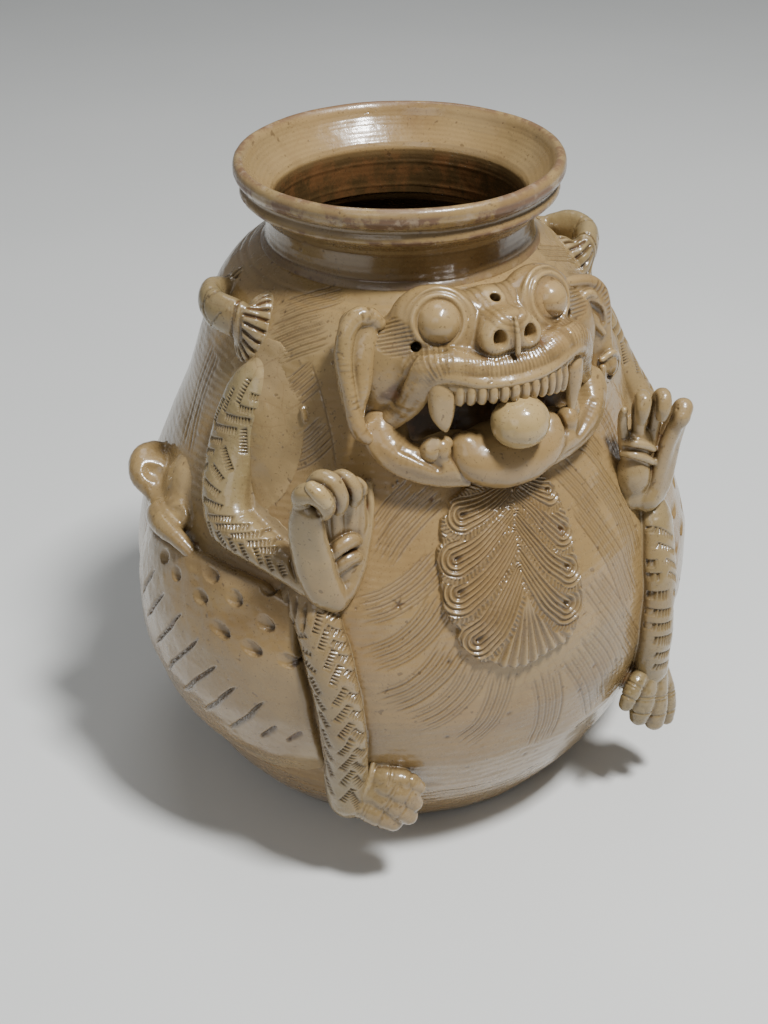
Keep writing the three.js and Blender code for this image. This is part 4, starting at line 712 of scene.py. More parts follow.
# the ruffled side fins
def wellip(Q, az, z, h, r):
    q = (Q - np.array([*uv(az, z), h])) / np.array(r, float)
    k0 = np.linalg.norm(q, axis=1); k1 = np.linalg.norm(q / np.array(r, float), axis=1)
    return np.where(k1 > 1e-6, k0 * (k0 - 1) / np.maximum(k1, 1e-6), -min(r))
def fin_f(P):
    Q = wall_frame(P)
    d = strap(Q, WS([(-104.0, 155.0, -1.5, 2.8, 2.4), (-102.4, 154.6, 4.2, 4.4, 4.2), (-99.6, 152.4, 9.0, 6.0, 5.2), (-96.5, 148.8, 9.4, 5.6, 5.0), (-93.6, 146.0, 5.0, 4.4, 4.2), (-91.0, 143.0, 2.0, 4.2, 3.4)]))
    d = smin(d, wellip(Q, -98.0, 150.5, 3.0, (7.4, 7.6, 8.2)), 3)
    e = strap(Q, WS([(-91.0, 143.0, 2.0, 4.2, 3.4), (-88.2, 142.2, 4.6, 4.6, 4.0), (-84.5, 143.0, 7.4, 5.2, 4.4), (-80.5, 142.6, 8.2, 5.0, 4.2), (-76.6, 141.2, 6.0, 3.8, 3.6), (-73.0, 138.4, 3.0, 3.0, 2.8), (-70.4, 133.8, 0.4, 2.2, 2.0)]))
    e = smin(e, wellip(Q, -82.0, 146.2, 1.6, (8.4, 6.6, 5.4)), 2.5)
    d = smin(d, e, 2.5)
    d = smin(d, wellip(Q, -88.0, 153.5, -0.8, (12.0, 12.0, 4.4)), 5)               # the swelling between them
    d = smax(d, -wellip(Q, -93.2, 154.0, 8.0, (3.6, 3.4, 4.0)), 2.0)               # a shallow hollow behind each wave
    d = smax(d, -wellip(Q, -78.4, 149.4, 7.4, (6.0, 3.0, 3.6)), 2.2)
    return seat(Q, d, 2.4)
def fin_detail(V, N):
    d = 0.12 * np.clip(noise3(V, 2.0, 8), 0, 1)
    return d, d

# lugs: upright strap loops with roots spread out in a slashed fan
def band(P, pts, n=5, want=False):
    """rows (x, y, z, half thickness, half height); the section stays upright"""
    q = spline(pts, n); far, ix = near(P, q, q[:, 4].max()); whole = P; P = P[ix]
    best = np.full(len(P), 1e9); at = np.zeros(len(P)); s0 = 0.0
    for a, b in zip(q[:-1], q[1:]):
        d = b[:3] - a[:3]; L2 = float(d @ d); e = d[:2]
        w = P - a[:3]; t = np.clip((w[:, :2] @ e) / max(float(e @ e), 1e-9), 0, 1); rem = w - t[:, None] * d
        T = np.hypot(rem[:, 0], rem[:, 1]); H = rem[:, 2]; tt = a[3] + (b[3] - a[3]) * t; ww = a[4] + (b[4] - a[4]) * t
        k0 = np.sqrt((T / tt) ** 2 + (H / ww) ** 2); k1 = np.sqrt((T / tt ** 2) ** 2 + (H / ww ** 2) ** 2)
        dist = np.where(k1 > 1e-6, k0 * (k0 - 1) / np.maximum(k1, 1e-6), -np.minimum(tt, ww))
        m = dist < best; best = np.where(m, dist, best)
        if want: at = np.where(m, s0 + t * math.sqrt(L2), at)
        s0 += math.sqrt(L2)
    far[ix] = best
    if not want: return far
    at2 = np.zeros(len(whole)); at2[ix] = at
    return far, at2, s0
LUG = [(*on_wall(az, z, h), t, w) for az, z, h, t, w in [(-72.0, 226.5, 0.6, 4.6, 7.8), (-75.8, 226.6, 4.4, 4.9, 8.1), (-79.6, 226.4, 7.6, 5.1, 8.1), (-83.6, 226.2, 9.6, 5.1, 8.0), (-87.6, 226.8, 9.6, 5.0, 7.7), (-91.2, 228.0, 7.8, 4.6, 7.0), (-94.2, 229.4, 4.4, 3.7, 5.5), (-96.6, 230.2, 0.8, 3.2, 4.8)]]
FAN = [((-70.5, 228.5), 1.0), ((-104.5, 231), -1.0)]
def lug_f(P):
    Q = wall_frame(P)
    d = band(P, LUG)
    d = smin(d, wellip(Q, -74.6, 226.2, -0.4, (11.4, 14.2, 4.4)), 3.0)
    d = smin(d, wellip(Q, -97.6, 232.4, -0.8, (8.0, 8.0, 3.0)), 3.0)
    return seat(Q, d, 1.2)
def lug_detail(V, N):
    Q = wall_frame(V); dep = np.zeros(len(V))
    for (az, z), sg, R0, R1, a0, a1, n in (((-78.4, 226.6), 1, 9.6, 23.0, -98, 82, 14), ((-94.4, 230.0), -1, 5.4, 12.0, -10, 130, 7)):
        c = np.array(uv(az, z)); w = Q[:, :2] - c; rr = np.hypot(w[:, 0], w[:, 1]); an = np.degrees(np.arctan2(w[:, 1], sg * w[:, 0]))
        for k in range(n):
            a = a0 + (a1 - a0) * k / (n - 1); da = np.radians((an - a + 180) % 360 - 180) * rr
            lo = R0 + (0.8 if k % 2 else 0); e = np.clip((rr - lo) / 2.0, 0, 1) * np.clip((R1 + 1 - rr) / 1.2, 0, 1)
            dep = np.maximum(dep, 1.5 * e * np.exp(-(da / 0.62) ** 2) * (np.abs(da) < 3) * (Q[:, 2] > 0.2))
    d, at, L = band(V, LUG, want=True)
    near = np.clip(1 - d / 2.0, 0, 1)
    for s in (5.0, 8.4): dep = np.maximum(dep, 0.75 * near * np.exp(-((at - s + 0.06 * (V[:, 2] - 227)) / 0.55) ** 2))
    s = at; zc = V[:, 2] - 226.5
    for k, m in ((0.55, 17.0), (-0.55, 17.0), (0.18, 23.0)):
        dep = np.maximum(dep, 0.45 * near * np.exp(-((s - m + zc * k + 0.02 * zc * zc) / 0.4) ** 2) * (s > 12))
    return dep, np.clip(dep / 0.7, 0, 1)
# ------------------------------------------------------------------ the thrown body with its combed strokes
STROKES = [  # (points as azimuth and height, number of lines, spacing in mm)
    ([(-66.1, 233.6), (-56.8, 239), (-45.9, 243.0)], 7, 1.75), ([(-65.4, 226.2), (-58, 231.5), (-50.3, 235.7)], 7, 1.6), ([(-65, 218.7), (-56.2, 226.5), (-47.8, 231.4)], 9, 1.6),
    ([(-62.1, 203.1), (-55.6, 208.4), (-48.7, 217.5)], 9, 1.75), ([(-55.9, 184.7), (-49.3, 190), (-43.2, 199.3)], 9, 1.8),
    ([(-16.1, 177.5), (-21.4, 171), (-25.9, 163.1), (-29.2, 154.2)], 7, 1.9), ([(-22.6, 179.5), (-27.2, 172.6), (-30.7, 164.7)], 6, 1.7),
    ([(-17.1, 153.7), (-21.8, 146.1), (-27.9, 139.1), (-32.9, 135.5)], 8, 1.9), ([(-17, 138.9), (-20.7, 129.8), (-25.5, 121.4), (-30.9, 116.1)], 8, 1.9),
    ([(-15.6, 120.2), (-19, 110.9), (-23.7, 102), (-28.4, 97.1)], 8, 1.9), ([(-10.9, 110.5), (-13.7, 100), (-18.1, 91.5), (-22.8, 86.3)], 8, 1.9),
    ([(-5.3, 105), (-6.9, 92.2), (-9.7, 80.3), (-13.5, 72.9)], 7, 1.9), ([(3.3, 99.2), (4.4, 85.3), (4.9, 71.6), (3.9, 60.1)], 8, 1.9), ([(9.8, 103.1), (13.4, 89.6), (16.6, 76.2), (19, 63.9)], 8, 1.9),
    ([(14.5, 110.8), (19, 96.1), (21.8, 83.6), (23.7, 72.6)], 8, 1.9), ([(18.5, 161.2), (22.4, 146.7), (25.2, 131.1), (28.2, 110.6)], 8, 1.9), ([(16.5, 130.1), (19.8, 118.3), (24.6, 101.9), (30.6, 81.6)], 8, 1.9),
    ([(27.2, 167.1), (30.8, 150), (31.4, 137), (32, 125.1)], 8, 1.8), ([(15.6, 176), (20.2, 164.0), (24.0, 152.0)], 7, 1.8), ([(22, 186), (27.5, 178.0), (31.2, 168.0)], 7, 1.8), ([(36.5, 188), (39.0, 178.0), (40.0, 166.0)], 6, 1.9),
    ([(66.1, 233.6), (56.8, 239), (45.9, 243.0)], 7, 1.75), ([(65, 218.7), (56.2, 226.5), (47.8, 231.4)], 9, 1.6), ([(62.1, 203.1), (55.6, 208.4), (50.7, 217.5)], 9, 1.75),
    ([(-89.7, 208.6), (-92.1, 186.8), (-89.3, 167.6)], 5, 3.4), ([(89.7, 208.6), (92.1, 186.8), (89.3, 167.6)], 5, 3.4),
    ([(-50.2, 220.4), (-46.2, 210.6), (-43.2, 198.6), (-41.2, 186.1)], 1, 1.6)]
for _k, (_a, _z) in enumerate([(112, 214), (140, 217), (166, 213), (-168, 216), (-142, 213), (-116, 217), (118, 176), (146, 180), (172, 175), (-164, 179), (-138, 176), (122, 132), (150, 136), (176, 131), (-158, 135), (-132, 132)]):
    STROKES.append(([(_a - 8, _z - 9), (_a, _z), (_a + 7, _z + 11)] if _a > 0 else [(_a + 8, _z - 9), (_a, _z), (_a - 7, _z + 11)], 8, 1.8))
def strokes(Q, A=0.34):
    out = np.zeros(len(Q))
    for pts, n, pitch in STROKES:
        if 1 < n and pitch < 3: n, pitch = n + 1, pitch * 0.78
        q = spline([(*uv(a, z), 0.0) for a, z in pts], 6)[:, :2]; half = n * pitch / 2
        lo, hi = q.min(0) - half - 1, q.max(0) + half + 1
        idx = np.where((Q[:, 0] > lo[0]) & (Q[:, 0] < hi[0]) & (Q[:, 1] > lo[1]) & (Q[:, 1] < hi[1]))[0]
        if not len(idx): continue
        U = Q[idx, :2]; best = np.full(len(U), 1e9); side = np.zeros(len(U)); at = np.zeros(len(U)); s0 = 0.0; seg = list(zip(q[:-1], q[1:]))
        for k, (a, b) in enumerate(seg):
            d = b - a; L = math.hypot(*d); w = U - a; t = w @ d / L; tc = np.clip(t, 0 if k else -4, L if k < len(seg) - 1 else L + 4)
            r = np.hypot(*(w - tc[:, None] * d / L).T); m = r < best
            best = np.where(m, r, best); side = np.where(m, (d[0] * w[:, 1] - d[1] * w[:, 0]) / L, side); at = np.where(m, s0 + t, at); s0 += L
        wob = 0.22 * np.sin(at / 8.0 + pts[0][0])
        s = side + wob; e0 = 2.2 * np.sin(s * 1.9 + pts[0][1]); e1 = 2.2 * np.cos(s * 2.3 + pts[0][0])
        end = np.clip((at + e0) / 3.0, 0, 1) * np.clip((s0 - at + e1) / 4.0, 0, 1)
        line = np.exp(-(((s / pitch + (0.5 if n % 2 == 0 else 0.0) + 0.5) % 1.0 - 0.5) * pitch / (0.25 * pitch)) ** 2)
        win = (np.abs(s) < half)
        kline = np.floor(s / pitch + (0.5 if n % 2 == 0 else 0.0) + 0.5)
        amp = A * (0.75 + 0.35 * np.sin(kline * 2.7 + pts[0][0]))
        v = amp * line * win * end * (best < half + 0.5)
        out[idx] = np.maximum(out[idx], v)
    return out
def body_wall():
    zmin = 0.0
    # rows along the profile, columns round the axis: fine in front, coarser behind and low down
    vs = [0.0]; vtop = AT[-1]; v95 = np.interp(95, ZT, AT)
    while vs[-1] < vtop - 0.3: vs.append(vs[-1] + (0.45 if vs[-1] > np.interp(56, ZT, AT) else 1.15))
    vs[-1] = vtop; vs = np.array(vs)
    az = [-180.0]
    while az[-1] < 180: az.append(az[-1] + (0.24 if abs(az[-1]) < 68 else (0.45 if abs(az[-1]) < 106 else 1.0)))
    az = np.array(az[:-1]); az = az if 180 - az[-1] > 0.3 else az[:-1]
    z = np.interp(vs, AT, ZT); r = radius(z); s = slope(z); c = 1 / np.sqrt(1 + s * s)
    A, K = np.meshgrid(np.radians(az), np.arange(len(vs)), indexing="ij")
    U = np.stack([A.ravel() * RREF, vs[K.ravel()]], -1)
    dep = strokes(U)
    zz = z[K.ravel()]; Pn = np.stack([r[K.ravel()] * np.sin(A.ravel()), -r[K.ravel()] * np.cos(A.ravel()), zz], -1)
    low = np.clip((78 - zz) / 30, 0, 1) * np.clip(zz / 4, 0, 1)
    n1 = noise3(Pn, 26, 2); n2 = noise3(Pn * np.array([1, 1, 3.2]), 13, 5)
    rings = (0.5 - 0.5 * np.cos(2 * np.pi * (zz + 1.6 * n1) / 4.2)) * 0.14 * low
    thrown = 0.10 * (0.5 - 0.5 * np.cos(2 * np.pi * (zz + 2.0 * n1) / 3.1)) * np.clip((zz - 60) / 20, 0, 1)
    scrape = np.clip(n2, 0, 2) * 0.22 * low
    top = 0.30 * np.exp(-((zz - 240.6) / 0.5) ** 2) + 0.25 * np.exp(-((zz - 238.2) / 0.5) ** 2)
    h = -(dep + rings + thrown * 0.6 + scrape + top) + 0.30 * noise3(Pn, 34, 7) + 0.12 * noise3(Pn, 9, 3) + 0.035 * noise3(Pn, 2.4, 4)
    # small knob of clay on the shoulder, pinholes and grit
    ku, kv = uv(-50.6, 202.6); w = np.stack([U[:, 0] - ku, U[:, 1] - kv], -1); ax = np.array([0.5, -0.86]); t = w @ ax; q = np.hypot(np.clip(np.abs(t) - 1.8, 0, None), w @ np.array([0.86, 0.5]))
    h += 1.7 * np.sqrt(np.clip(1 - (q / 1.5) ** 2, 0, 1))
    gr = np.random.default_rng(5); dark = np.zeros(len(U))
    for _ in range(150):
        gu, gv = gr.uniform(-1.9, 1.9) * RREF, gr.uniform(40, vtop - 10); rr = gr.uniform(0.4, 1.0); up = gr.random() < 0.5
        m = (np.abs(U[:, 0] - gu) < 2.2) & (np.abs(U[:, 1] - gv) < 2.2); d2 = ((U[m, 0] - gu) ** 2 + (U[m, 1] - gv) ** 2) / rr ** 2
        h[m] += (0.28 if up else -0.32) * np.exp(-d2); dark[m] = np.maximum(dark[m], (0.2 if up else 0.9) * np.exp(-d2))
    for (pa, pz) in ((-12.9, 159), (-25.8, 138.6)):                     # two star-like pits in the glaze
        gu, gv = uv(pa, pz); m = np.hypot(U[:, 0] - gu, U[:, 1] - gv) < 5; w = U[m] - np.array([gu, gv]); rr = np.hypot(*w.T); an = np.arctan2(w[:, 1], w[:, 0])
        star = np.exp(-(rr / (0.8 + 1.3 * np.abs(np.cos(2.5 * an)) ** 6)) ** 2); h[m] -= 0.7 * star; dark[m] = np.maximum(dark[m], star)
    fine = np.clip((vtop - vs[K.ravel()]) / 1.0, 0, 1) * np.clip(vs[K.ravel()] / 1.0, 0, 1); h = h * fine
    P = Pn + h[:, None] * np.stack([c[K.ravel()] * np.sin(A.ravel()), -c[K.ravel()] * np.cos(A.ravel()), -s[K.ravel()] * c[K.ravel()]], -1)
    cav = np.clip(dep / 0.34 * 0.60 + rings * 0.5 + scrape * 0.3 + dark, 0, 1)
    # painted shade on the body wall at the back of the open mouth
    azd = np.abs(np.degrees(U[:, 0] / RREF)); cav = np.maximum(cav, np.clip((25 - azd) / 3, 0, 1) * np.clip((zz - 196) / 3, 0, 1) * np.clip((225 - zz) / 3, 0, 1))      # the back of the beast's open mouth
    return P.reshape(len(az), len(vs), 3), cav.reshape(len(az), len(vs)), az
def resample(prof, step):
    prof = np.asarray(prof, float); d = np.r_[0, np.cumsum(np.hypot(*np.diff(prof, axis=0).T))]
    k = max(2, int(d[-1] / step)); t = np.linspace(0, d[-1], k)
    return np.stack([np.interp(t, d, prof[:, 0]), np.interp(t, d, prof[:, 1])], -1)
def smooth_prof(prof, step, sig):
    p = resample(prof, step); k = np.exp(-0.5 * (np.arange(-12, 13) * step / sig) ** 2); k /= k.sum(); q = np.vstack([np.repeat(p[:1], 12, 0), p, np.repeat(p[-1:], 12, 0)])
    return np.stack([np.convolve(q[:, 0], k, "valid"), np.convolve(q[:, 1], k, "valid")], -1)
def build_body():
    G, cav, az = body_wall(); n = len(az)
    inner = smooth_prof([[51, 243.7], [50.3, 242], [51, 240], [54, 238], [60.5, 234], [68.5, 225], [76.5, 205], [83, 185], [94.2, 160], [105.8, 135], [111.5, 110], [112.8, 85], [108.4, 60], [99.5, 38], [90, 22], [82, 14], [70, 9], [1.2, 9.0]], 4.5, 1.5)
    a = np.radians(az)
    def ringed(p): return np.stack([p[None, :, 0] * np.sin(a)[:, None], -p[None, :, 0] * np.cos(a)[:, None], np.repeat(p[None, :, 1], n, 0)], -1)
    base = ringed(np.array([[r_, 0.0] for r_ in (2, 20, 40, 60, 74, 79.6)]))
    top = ringed(np.array([[55.2, 243.9], [53.0, 243.9]]))
    inn = ringed(inner)
    # the inside wall and floor of the vessel are darkened with painted shade (0.75, and 0.4 at the centre of the floor)
    L = np.concatenate([base, G, top, inn], 1); C = np.concatenate([np.zeros((n, base.shape[1])), cav, np.zeros((n, top.shape[1])), np.full((n, inn.shape[1]), 0.75)], 1)
    m = L.shape[1]; V = L.reshape(-1, 3)
    i = np.arange(n)[:, None]; j = np.arange(m - 1)[None, :]; i2 = (i + 1) % n
    F = np.stack(np.broadcast_arrays(i * m + j, i2 * m + j, i2 * m + j + 1, i * m + j + 1), -1).reshape(-1, 4)
    T = np.concatenate([F[:, [0, 1, 2]], F[:, [0, 2, 3]]])
    V = np.concatenate([V, [[0, 0, 0], [0, 0, 9.0]]]); k0, k1 = len(V) - 2, len(V) - 1; ii = np.arange(n); ij = (ii + 1) % n
    T = np.concatenate([T, np.stack([np.full(n, k0), ij * m, ii * m], -1), np.stack([np.full(n, k1), ii * m + m - 1, ij * m + m - 1], -1)])
    return V, T, np.r_[C.ravel(), 0, 0.4]

# ------------------------------------------------------------------ neck and dished mouth
def build_mouth():
    prof = smooth_prof([[50.2, 242.5], [56.2, 242.5], [57.0, 243.6], [56.2, 244.9], [55.0, 246.4], [54.2, 249.0], [54.0, 252], [54.4, 255.6], [56.0, 259.4], [59.6, 262.6], [62.6, 264.0], [64.0, 265.4], [63.6, 267.2], [62.5, 268.6], [62.9, 270.0], [64.9, 271.4], [66.0, 273.6], [66.0, 276.0], [65.4, 277.8], [64.0, 278.8], [62.4, 278.5], [61.2, 277.0], [59.6, 273.8], [56.9, 270.2], [53.9, 267.2], [51.6, 265.0], [50.4, 262.8], [50.0, 259], [50.0, 250], [50.2, 242.5]], 0.55, 0.42)[:-1]
    n = 640; a = np.linspace(0, 2 * np.pi, n, endpoint=False); m = len(prof)
    V = np.stack([prof[None, :, 0] * np.sin(a)[:, None], -prof[None, :, 0] * np.cos(a)[:, None], np.repeat(prof[None, :, 1], n, 0)], -1).reshape(-1, 3)
    r = np.hypot(V[:, 0], V[:, 1]); z = V[:, 2]; rad = np.stack([V[:, 0] / r, V[:, 1] / r, 0 * r], -1); inside = (r < 60.5) & (z > 258) & (np.tile(np.arange(m), n) > m * 0.5)
    ring = np.zeros(len(V))
    for zz, w, A in ((262.6, 0.45, 0.25), (270.3, 0.4, 0.25), (275.0, 0.5, 0.12), (246.6, 0.45, 0.25), (256.8, 0.5, 0.2)):
        ring += A * np.exp(-((z - zz - 0.25 * noise3(V, 18, 3)) / w) ** 2) * (~inside)
    lines = 0.07 * (0.5 - 0.5 * np.cos(2 * np.pi * (z + 0.4 * noise3(V, 22, 4)) / 1.55)) * inside * (z > 259) + 0.04 * (0.5 - 0.5 * np.cos(2 * np.pi * z / 2.3)) * (z < 258)
    chips = np.clip(noise3(V, 2.6, 5) - 0.85, 0, 1) * (((z > 271.6) & (z < 274.6) & (r > 64.5)) | ((np.abs(z - 265.2) < 1.4) & (r > 62.5)))
    V = V - rad * (ring + lines * np.where(inside, -1, 1) + 0.55 * chips)[:, None] + rad * (0.16 * noise3(V, 16, 6) + 0.05 * noise3(V, 4, 7))[:, None]
    V[:, 2] += 0.22 * noise3(V, 30, 8) * np.clip((z - 262) / 8, 0, 1) - 0.25 * chips
    V[:, 2] = np.minimum(V[:, 2], 279.0)
    wear = np.clip(0.8 * np.exp(-((z - 278.9) / 1.1) ** 2) + 1.5 * np.exp(-((z - 273.2) / 2.6) ** 2) * (r > 64.4) + 1.3 * np.exp(-((z - 264.9) / 1.4) ** 2) * (r > 61.5) + 0.5 * np.exp(-((z - 244.6) / 1.0) ** 2) * (r > 55.4), 0, 1)
    # glaze pooled in the rings, the lines and the groove under the lip; painted shade on the neck below the rim and
    # down the throat
    cav = np.clip(ring * 1.6 + lines * 1.2 + 0.35 * (z < 262) + 1.3 * (z < 263) * (r < 53.2) * np.clip((263 - z) / 9, 0, 1) + 0.5 * np.exp(-((z - 268.8) / 1.2) ** 2) * (r < 64.2) * (r > 61), 0, 1)
    i = np.arange(n)[:, None]; j = np.arange(m)[None, :]; i2 = (i + 1) % n; j2 = (j + 1) % m
    F = np.stack(np.broadcast_arrays(i * m + j, i2 * m + j, i2 * m + j2, i * m + j2), -1).reshape(-1, 4)
    return V, F, cav, wear

# ------------------------------------------------------------------ the plaque on the chest: nested curls to either side of a spine
PLQ = np.array([uv(a, z) for a, z in [(-14.5, 174.4), (-14.5, 171.3), (-16.5, 168.4), (-17.0, 164.3), (-16.6, 160.7), (-17.7, 158.1), (-17.9, 153.9), (-17.5, 150.0), (-17.4, 145.1), (-17.4, 140.0), (-16.9, 135.7), (-15.7, 130.5), (-14.4, 127.9), (-14.8, 125.7), (-14.3, 121.4), (-12.5, 117.2), (-10.4, 113.2), (-8.2, 112.4), (-6.5, 109.7), (-3.4, 107.9), (-0.9, 107.9), (2.1, 109.6), (5.1, 111.3), (7.5, 112.0), (10.1, 114.9), (11.9, 121.6), (13.1, 130.2), (13.1, 138.4), (12.9, 145.3), (13.7, 152.6), (13.2, 161.7), (12.2, 170.6), (9.9, 175.1), (3.4, 180.9), (-6.7, 181.8)]])
LOBES = [  # (side, reach, points from the pit to the spine)
    (-1, 9.8, [(-11.9, 168.9), (-7.2, 170.8), (-1.2, 175.1)]), (-1, 9.8, [(-14.0, 153.6), (-9.8, 156.8), (-5.6, 161.8), (-1.1, 167.4)]), (-1, 12.0, [(-13.9, 141.8), (-10.5, 145.0), (-5.9, 151.0), (-1.0, 159.4)]), (-1, 10.6, [(-10.8, 122.9), (-7.9, 127.6), (-5.0, 135.6), (-1.0, 146.1)]),
    (1, 9.6, [(10.0, 170.2), (7.6, 172.1), (4.1, 175.9)]), (1, 10.0, [(11.0, 154.4), (8.3, 159.6), (5.4, 166.5), (1.7, 173.5)]), (1, 10.0, [(10.3, 140.9), (6.8, 146.6), (3.8, 154.8), (0.3, 165.0)]), (1, 11.4, [(8.6, 127.8), (5.2, 134.4), (2.4, 143.1), (-0.4, 153.2)])]
SPINE = np.array([uv(a, z) for a, z in [(0.8, 190), (0.2, 171.7), (-0.4, 162.8), (-0.7, 152.1), (-0.9, 141.3), (-0.8, 130.1), (-1.6, 110)]])
def plaque_pattern(Q):
    """depth of the pattern below the crest of the lines"""
    U = Q[:, :2]; n = len(U); dep = np.zeros(n); dark = np.zeros(n); free = np.ones(n, bool)
    su = np.interp(-U[:, 1], -SPINE[:, 1], SPINE[:, 0]); left = U[:, 0] < su
    for side, R, pts in LOBES:
        ok = free & (left if side < 0 else ~left)
        idx = np.where(ok)[0]; q = spline([(*uv(a, z), 0.0) for a, z in pts], 5)[:, :2]
        w_ = U[idx]; best = np.full(len(idx), 1e9); at = np.zeros(len(idx)); sg = np.zeros(len(idx)); s0 = 0.0
        for a, b in zip(q[:-1], q[1:]):
            d = b - a; L = math.hypot(*d); w = w_ - a; t = np.clip(w @ d / L, 0, L); r = np.hypot(*(w - t[:, None] * d / L).T); m = r < best
            best = np.where(m, r, best); at = np.where(m, s0 + t, at); sg = np.where(m, (d[0] * w[:, 1] - d[1] * w[:, 0]) * side, sg); s0 += L
        k = 1 - 0.52 * np.clip(at / s0, 0, 1) ** 0.9; e = best / k
        inn = e < R; ii = idx[inn]; e_ = e[inn]; a_ = at[inn]; k_ = k[inn]
        hatch0 = R - 2.3
        lines = (0.5 - 0.5 * np.cos(2 * np.pi * (e_ - 0.2) / 2.15 + np.pi)) ** 0.9 * 0.85 * (e_ < hatch0)
        ang = np.arctan2(U[ii, 1] - q[0, 1], U[ii, 0] - q[0, 0])
        run = np.where(a_ > 0.3, a_, ang * R * 0.9)
        hatch = (e_ >= hatch0) * (0.30 + 0.50 * (0.5 - 0.5 * np.cos(2 * np.pi * (run + 0.35 * (e_ - hatch0)) / 1.75)))
        pit = np.exp(-((np.hypot(U[ii, 0] - q[0, 0], U[ii, 1] - q[0, 1])) / 2.0) ** 2) * 0.9
        edge = 0.55 * np.exp(-((R - e_) / 0.35) ** 2)
        v = np.maximum.reduce([lines, hatch, edge]) + pit
        dep[ii] = v; dark[ii] = np.clip(v * 0.8, 0, 1); free[ii] = False
        # the wall of the next curl tucks under this one
    ii = np.where(free)[0]; c = np.array(uv(-0.8, 140.0)); w = U[ii] - c; rr = np.hypot(*w.T); an = np.degrees(np.arctan2(w[:, 0], -w[:, 1]))
    fan = (0.5 - 0.5 * np.cos(2 * np.pi * (an + 3) / 7.5)) ** 1.0 * np.clip((rr - 5) / 8, 0, 1) * 0.85
    hz = (an < -33) | (an > 40)
    fan = np.where(hz, 0.3 + 0.5 * (0.5 - 0.5 * np.cos(2 * np.pi * (U[ii, 1] + 0.5 * U[ii, 0]) / 1.75)), fan)
    dep[ii] = fan; dark[ii] = np.clip(fan * 0.8, 0, 1)
    return dep, dark
def plaque_f(P):
    Q = wall_frame(P); e = poly_d(Q[:, :2], PLQ)
    top = 3.1 + 1.2 * np.clip(-e / 16, 0, 1)
    return np.maximum(smax(Q[:, 2] - top, e, 1.5), -(Q[:, 2] + 1.2))
def plaque_detail(V, N):
    Q = wall_frame(V); dep, dark = plaque_pattern(Q); e = poly_d(Q[:, :2], PLQ)
    up = np.clip((Q[:, 2] - 0.4) / 1.2, 0, 1); on = np.clip((-e + 0.6) / 1.0, 0.25, 1)
    return dep * 1.25 * up * on, dark * up
# ------------------------------------------------------------------ the pieces, each riding on the root and standing for its own nodes
def add_piece(name, V, F, nodes, mat, cav, wear=None, thin=None):
    z = np.zeros(len(V))
    o = make_mesh(name, V, F, {"cav": cav, "wear": z if wear is None else wear, "thin": z if thin is None else thin}, mat=mat)
    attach(o, "root"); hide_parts(*nodes)
    return o
def sdf_piece(name, f, box, h, mat, nodes, detail=None, wear=None):
    V, F = sdf_mesh(f, box[0], box[1], h); F = outward(V, F); N = normals(V, F)
    cav = np.clip(0.8 * (1 - f(V + 2.4 * N) / 2.4), 0, 1)
    thin = np.clip((1 + f(V - 2.6 * N) / 2.6) * 1.6 - 0.1, 0, 1)
    if detail is not None:
        got = detail(V, N); dep, dark = got[:2]; wear = got[2] if len(got) > 2 else wear
        V = V - N * dep[:, None]; cav = np.clip(cav + dark * 0.8, 0, 1)
    V = V + N * (0.12 * noise3(V, 6, 1) + 0.05 * noise3(V, 2.2, 3))[:, None]
    V[:, 2] = np.maximum(V[:, 2], 0.3)
    return add_piece(name, V, F, nodes, mat, cav, wear, thin)
def flip_f(f): return lambda P: f(P * np.array([-1.0, 1, 1]))
def flip_d(dt): return (lambda V, N: dt(V * np.array([-1.0, 1, 1]), N * np.array([-1.0, 1, 1]))) if dt else None
def flip_b(b): return ((-b[1][0], b[0][1], b[0][2]), (-b[0][0], b[1][1], b[1][2]))

V, T, cav = build_body(); add_piece("vessel_body", V, T, ["body"], mat_body, cav)
V, F, cav, wear = build_mouth(); add_piece("vessel_neck_and_mouth", V, F, ["neck", "mouth_rim"], mat_body, cav, wear)
sdf_piece("chest_plaque", plaque_f, ((-36, -126, 102), (34, -84, 190)), 0.42, mat_body, ["beard_plaque"], plaque_detail)
sdf_piece("beast_head", head_f, ((-58, -110, 190), (58, -30, 258)), 0.42, mat_body, ["upper_head", "nose"], head_detail)
sdf_piece("beast_lower_jaw", jaw_f, ((-62, -108, 174), (62, -50, 218)), 0.5, mat_body, ["lower_jaw"], jaw_detail)
sdf_piece("beast_tongue", tongue_f, ((-36, -118, 174), (36, -76, 216)), 0.5, mat_body, ["tongue"])
sdf_piece("pearl", pearl_f, ((-14, -117, 195), (14, -88, 220)), 0.5, mat_bright, ["pearl"])
sdf_piece("beast_upper_teeth", teeth_f, ((-34, -112, 210), (34, -84, 230)), 0.35, mat_mid, ["upper_teeth"])
# written for x > 0 and turned over for the viewer's left
for name, fl, fr, dl, dr, box, h, mt, sl, nodes in (
    ("beast_ear", ear_f, ear2_f, ear_detail, ear2_detail, ((30, -92, 188), (72, -50, 256)), 0.45, mat_body, "glaze_body", ["ear_%s"]),
    ("beast_fang", fang_f, fang2_f, None, None, ((20, -104, 196), (38, -80, 230)), 0.4, mat_mid, "glaze_bright", ["fang_%s"]),
    ("beast_lower_fang", low_fang_f, low_fang2_f, None, None, ((16, -104, 184), (40, -80, 210)), 0.4, mat_mid, "glaze_bright", ["lower_fang_%s"]),
    ("beast_eye", eye_f, eye2_f, None, None, ((12, -90, 232), (34, -68, 254)), 0.4, mat_mid, "glaze_bright", ["eye_%s"]),
    ("beast_hand", hand_f, hand2_f, None, None, ((46, -106, 130), (98, -66, 210)), 0.4, mat_limb, "glaze_limbs", ["forepaw_%s"])):
    sdf_piece(name + "_left", flip_f(fl), flip_b(box), h, mt, [n % "left" for n in nodes], flip_d(dl))
    sdf_piece(name + "_right", fr, box, h, mt, [n % "right" for n in nodes], dr)
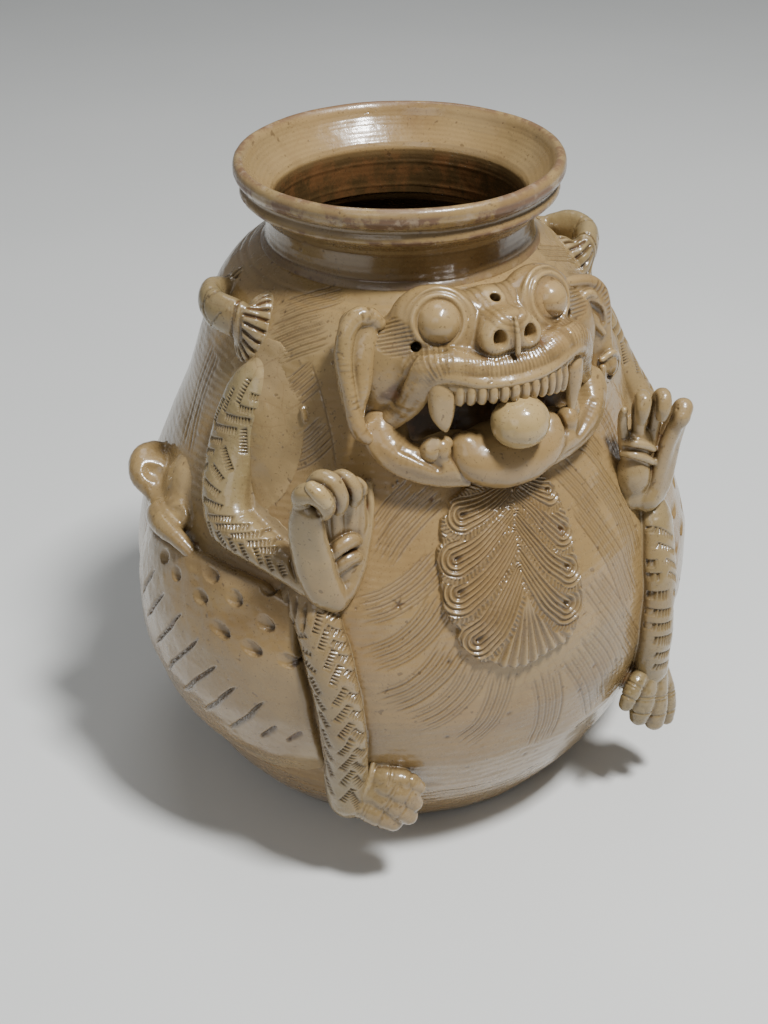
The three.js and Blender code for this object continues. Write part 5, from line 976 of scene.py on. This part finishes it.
nail = sdf_piece("beast_hand_nail_left", flip_f(hand_nail), flip_b(((68, -104, 182), (86, -88, 202))), 0.4, mat_bright, ["forepaw_left"])
# written for x < 0 and turned over for the viewer's right
for name, f, dt, box, h, mt, sl, nodes in (
    ("beast_foreleg", arm_f, arm_detail, ((-106, -106, 130), (-36, 6, 222)), 0.32, mat_limb, "glaze_limbs", ["upper_arm_%s", "forearm_%s"]),
    ("beast_shoulder", pad_f, None, ((-106, -90, 160), (-36, 6, 224)), 0.6, mat_body, "glaze_limbs", ["shoulder_%s"]),
    ("beast_haunch", haunch_f, haunch_detail, ((-138, -106, 3), (-56, 96, 146)), 0.66, mat_body, "glaze_body", ["haunch_%s"]),
    ("side_fin", fin_f, fin_detail, ((-132, -52, 122), (-80, 46, 172)), 0.5, mat_body, "glaze_applied", ["side_fin_%s"]),
    ("lug", lug_f, lug_detail, ((-102, -50, 202), (-46, 40, 248)), 0.42, mat_limb, "glaze_applied", ["lug_%s", "lug_tassel_front_%s", "lug_tassel_back_%s"])):
    sdf_piece(name + "_left", f, box, h, mt, [n % "left" for n in nodes], dt)
    sdf_piece(name + "_right", flip_f(f), flip_b(box), h, mt, [n % "right" for n in nodes], flip_d(dt))
sdf_piece("beast_hind_leg_left", leg_f, ((-100, -122, 32), (-46, -62, 150)), 0.32, mat_limb, ["hind_leg_left"], leg_detail)
sdf_piece("beast_hind_leg_right", leg2_f, ((46, -122, 52), (100, -62, 150)), 0.32, mat_limb, ["hind_leg_right"], leg2_detail)
sdf_piece("beast_hind_foot_left", foot_f, ((-88, -122, 24), (-34, -82, 70)), 0.42, mat_limb, ["hind_foot_left"], foot_detail)
sdf_piece("beast_hind_foot_right", foot2_f, ((46, -122, 22), (98, -82, 78)), 0.42, mat_limb, ["hind_foot_right"], foot_detail)
# ------------------------------------------------------------------ floor
FM = Mat("pale_floor")
geo = FM.add("ShaderNodeTexCoord").outputs["Object"]
nz = FM.add("ShaderNodeTexNoise", Scale=3.0, Detail=3.0); FM.link(geo, nz.inputs["Vector"])
FM.link(FM.ramp(nz.outputs["Fac"], [(0.3, (0.70, 0.715, 0.70)), (0.7, (0.74, 0.75, 0.735))]), FM.b.inputs["Base Color"])
FM.b.inputs["Roughness"].default_value = 0.8
n = 48
gx = np.linspace(-1, 1, n)
back = 2200.0
P = np.stack(np.meshgrid(gx * 3000, gx * 3000, indexing="ij"), -1).reshape(-1, 2)
V = np.c_[P, np.full(len(P), -0.05)]
i, j = np.meshgrid(np.arange(n - 1), np.arange(n - 1), indexing="ij")
F = np.stack([i * n + j, (i + 1) * n + j, (i + 1) * n + j + 1, i * n + j + 1], -1).reshape(-1, 4)
floor = make_mesh("floor", V, F, mat=FM.m)
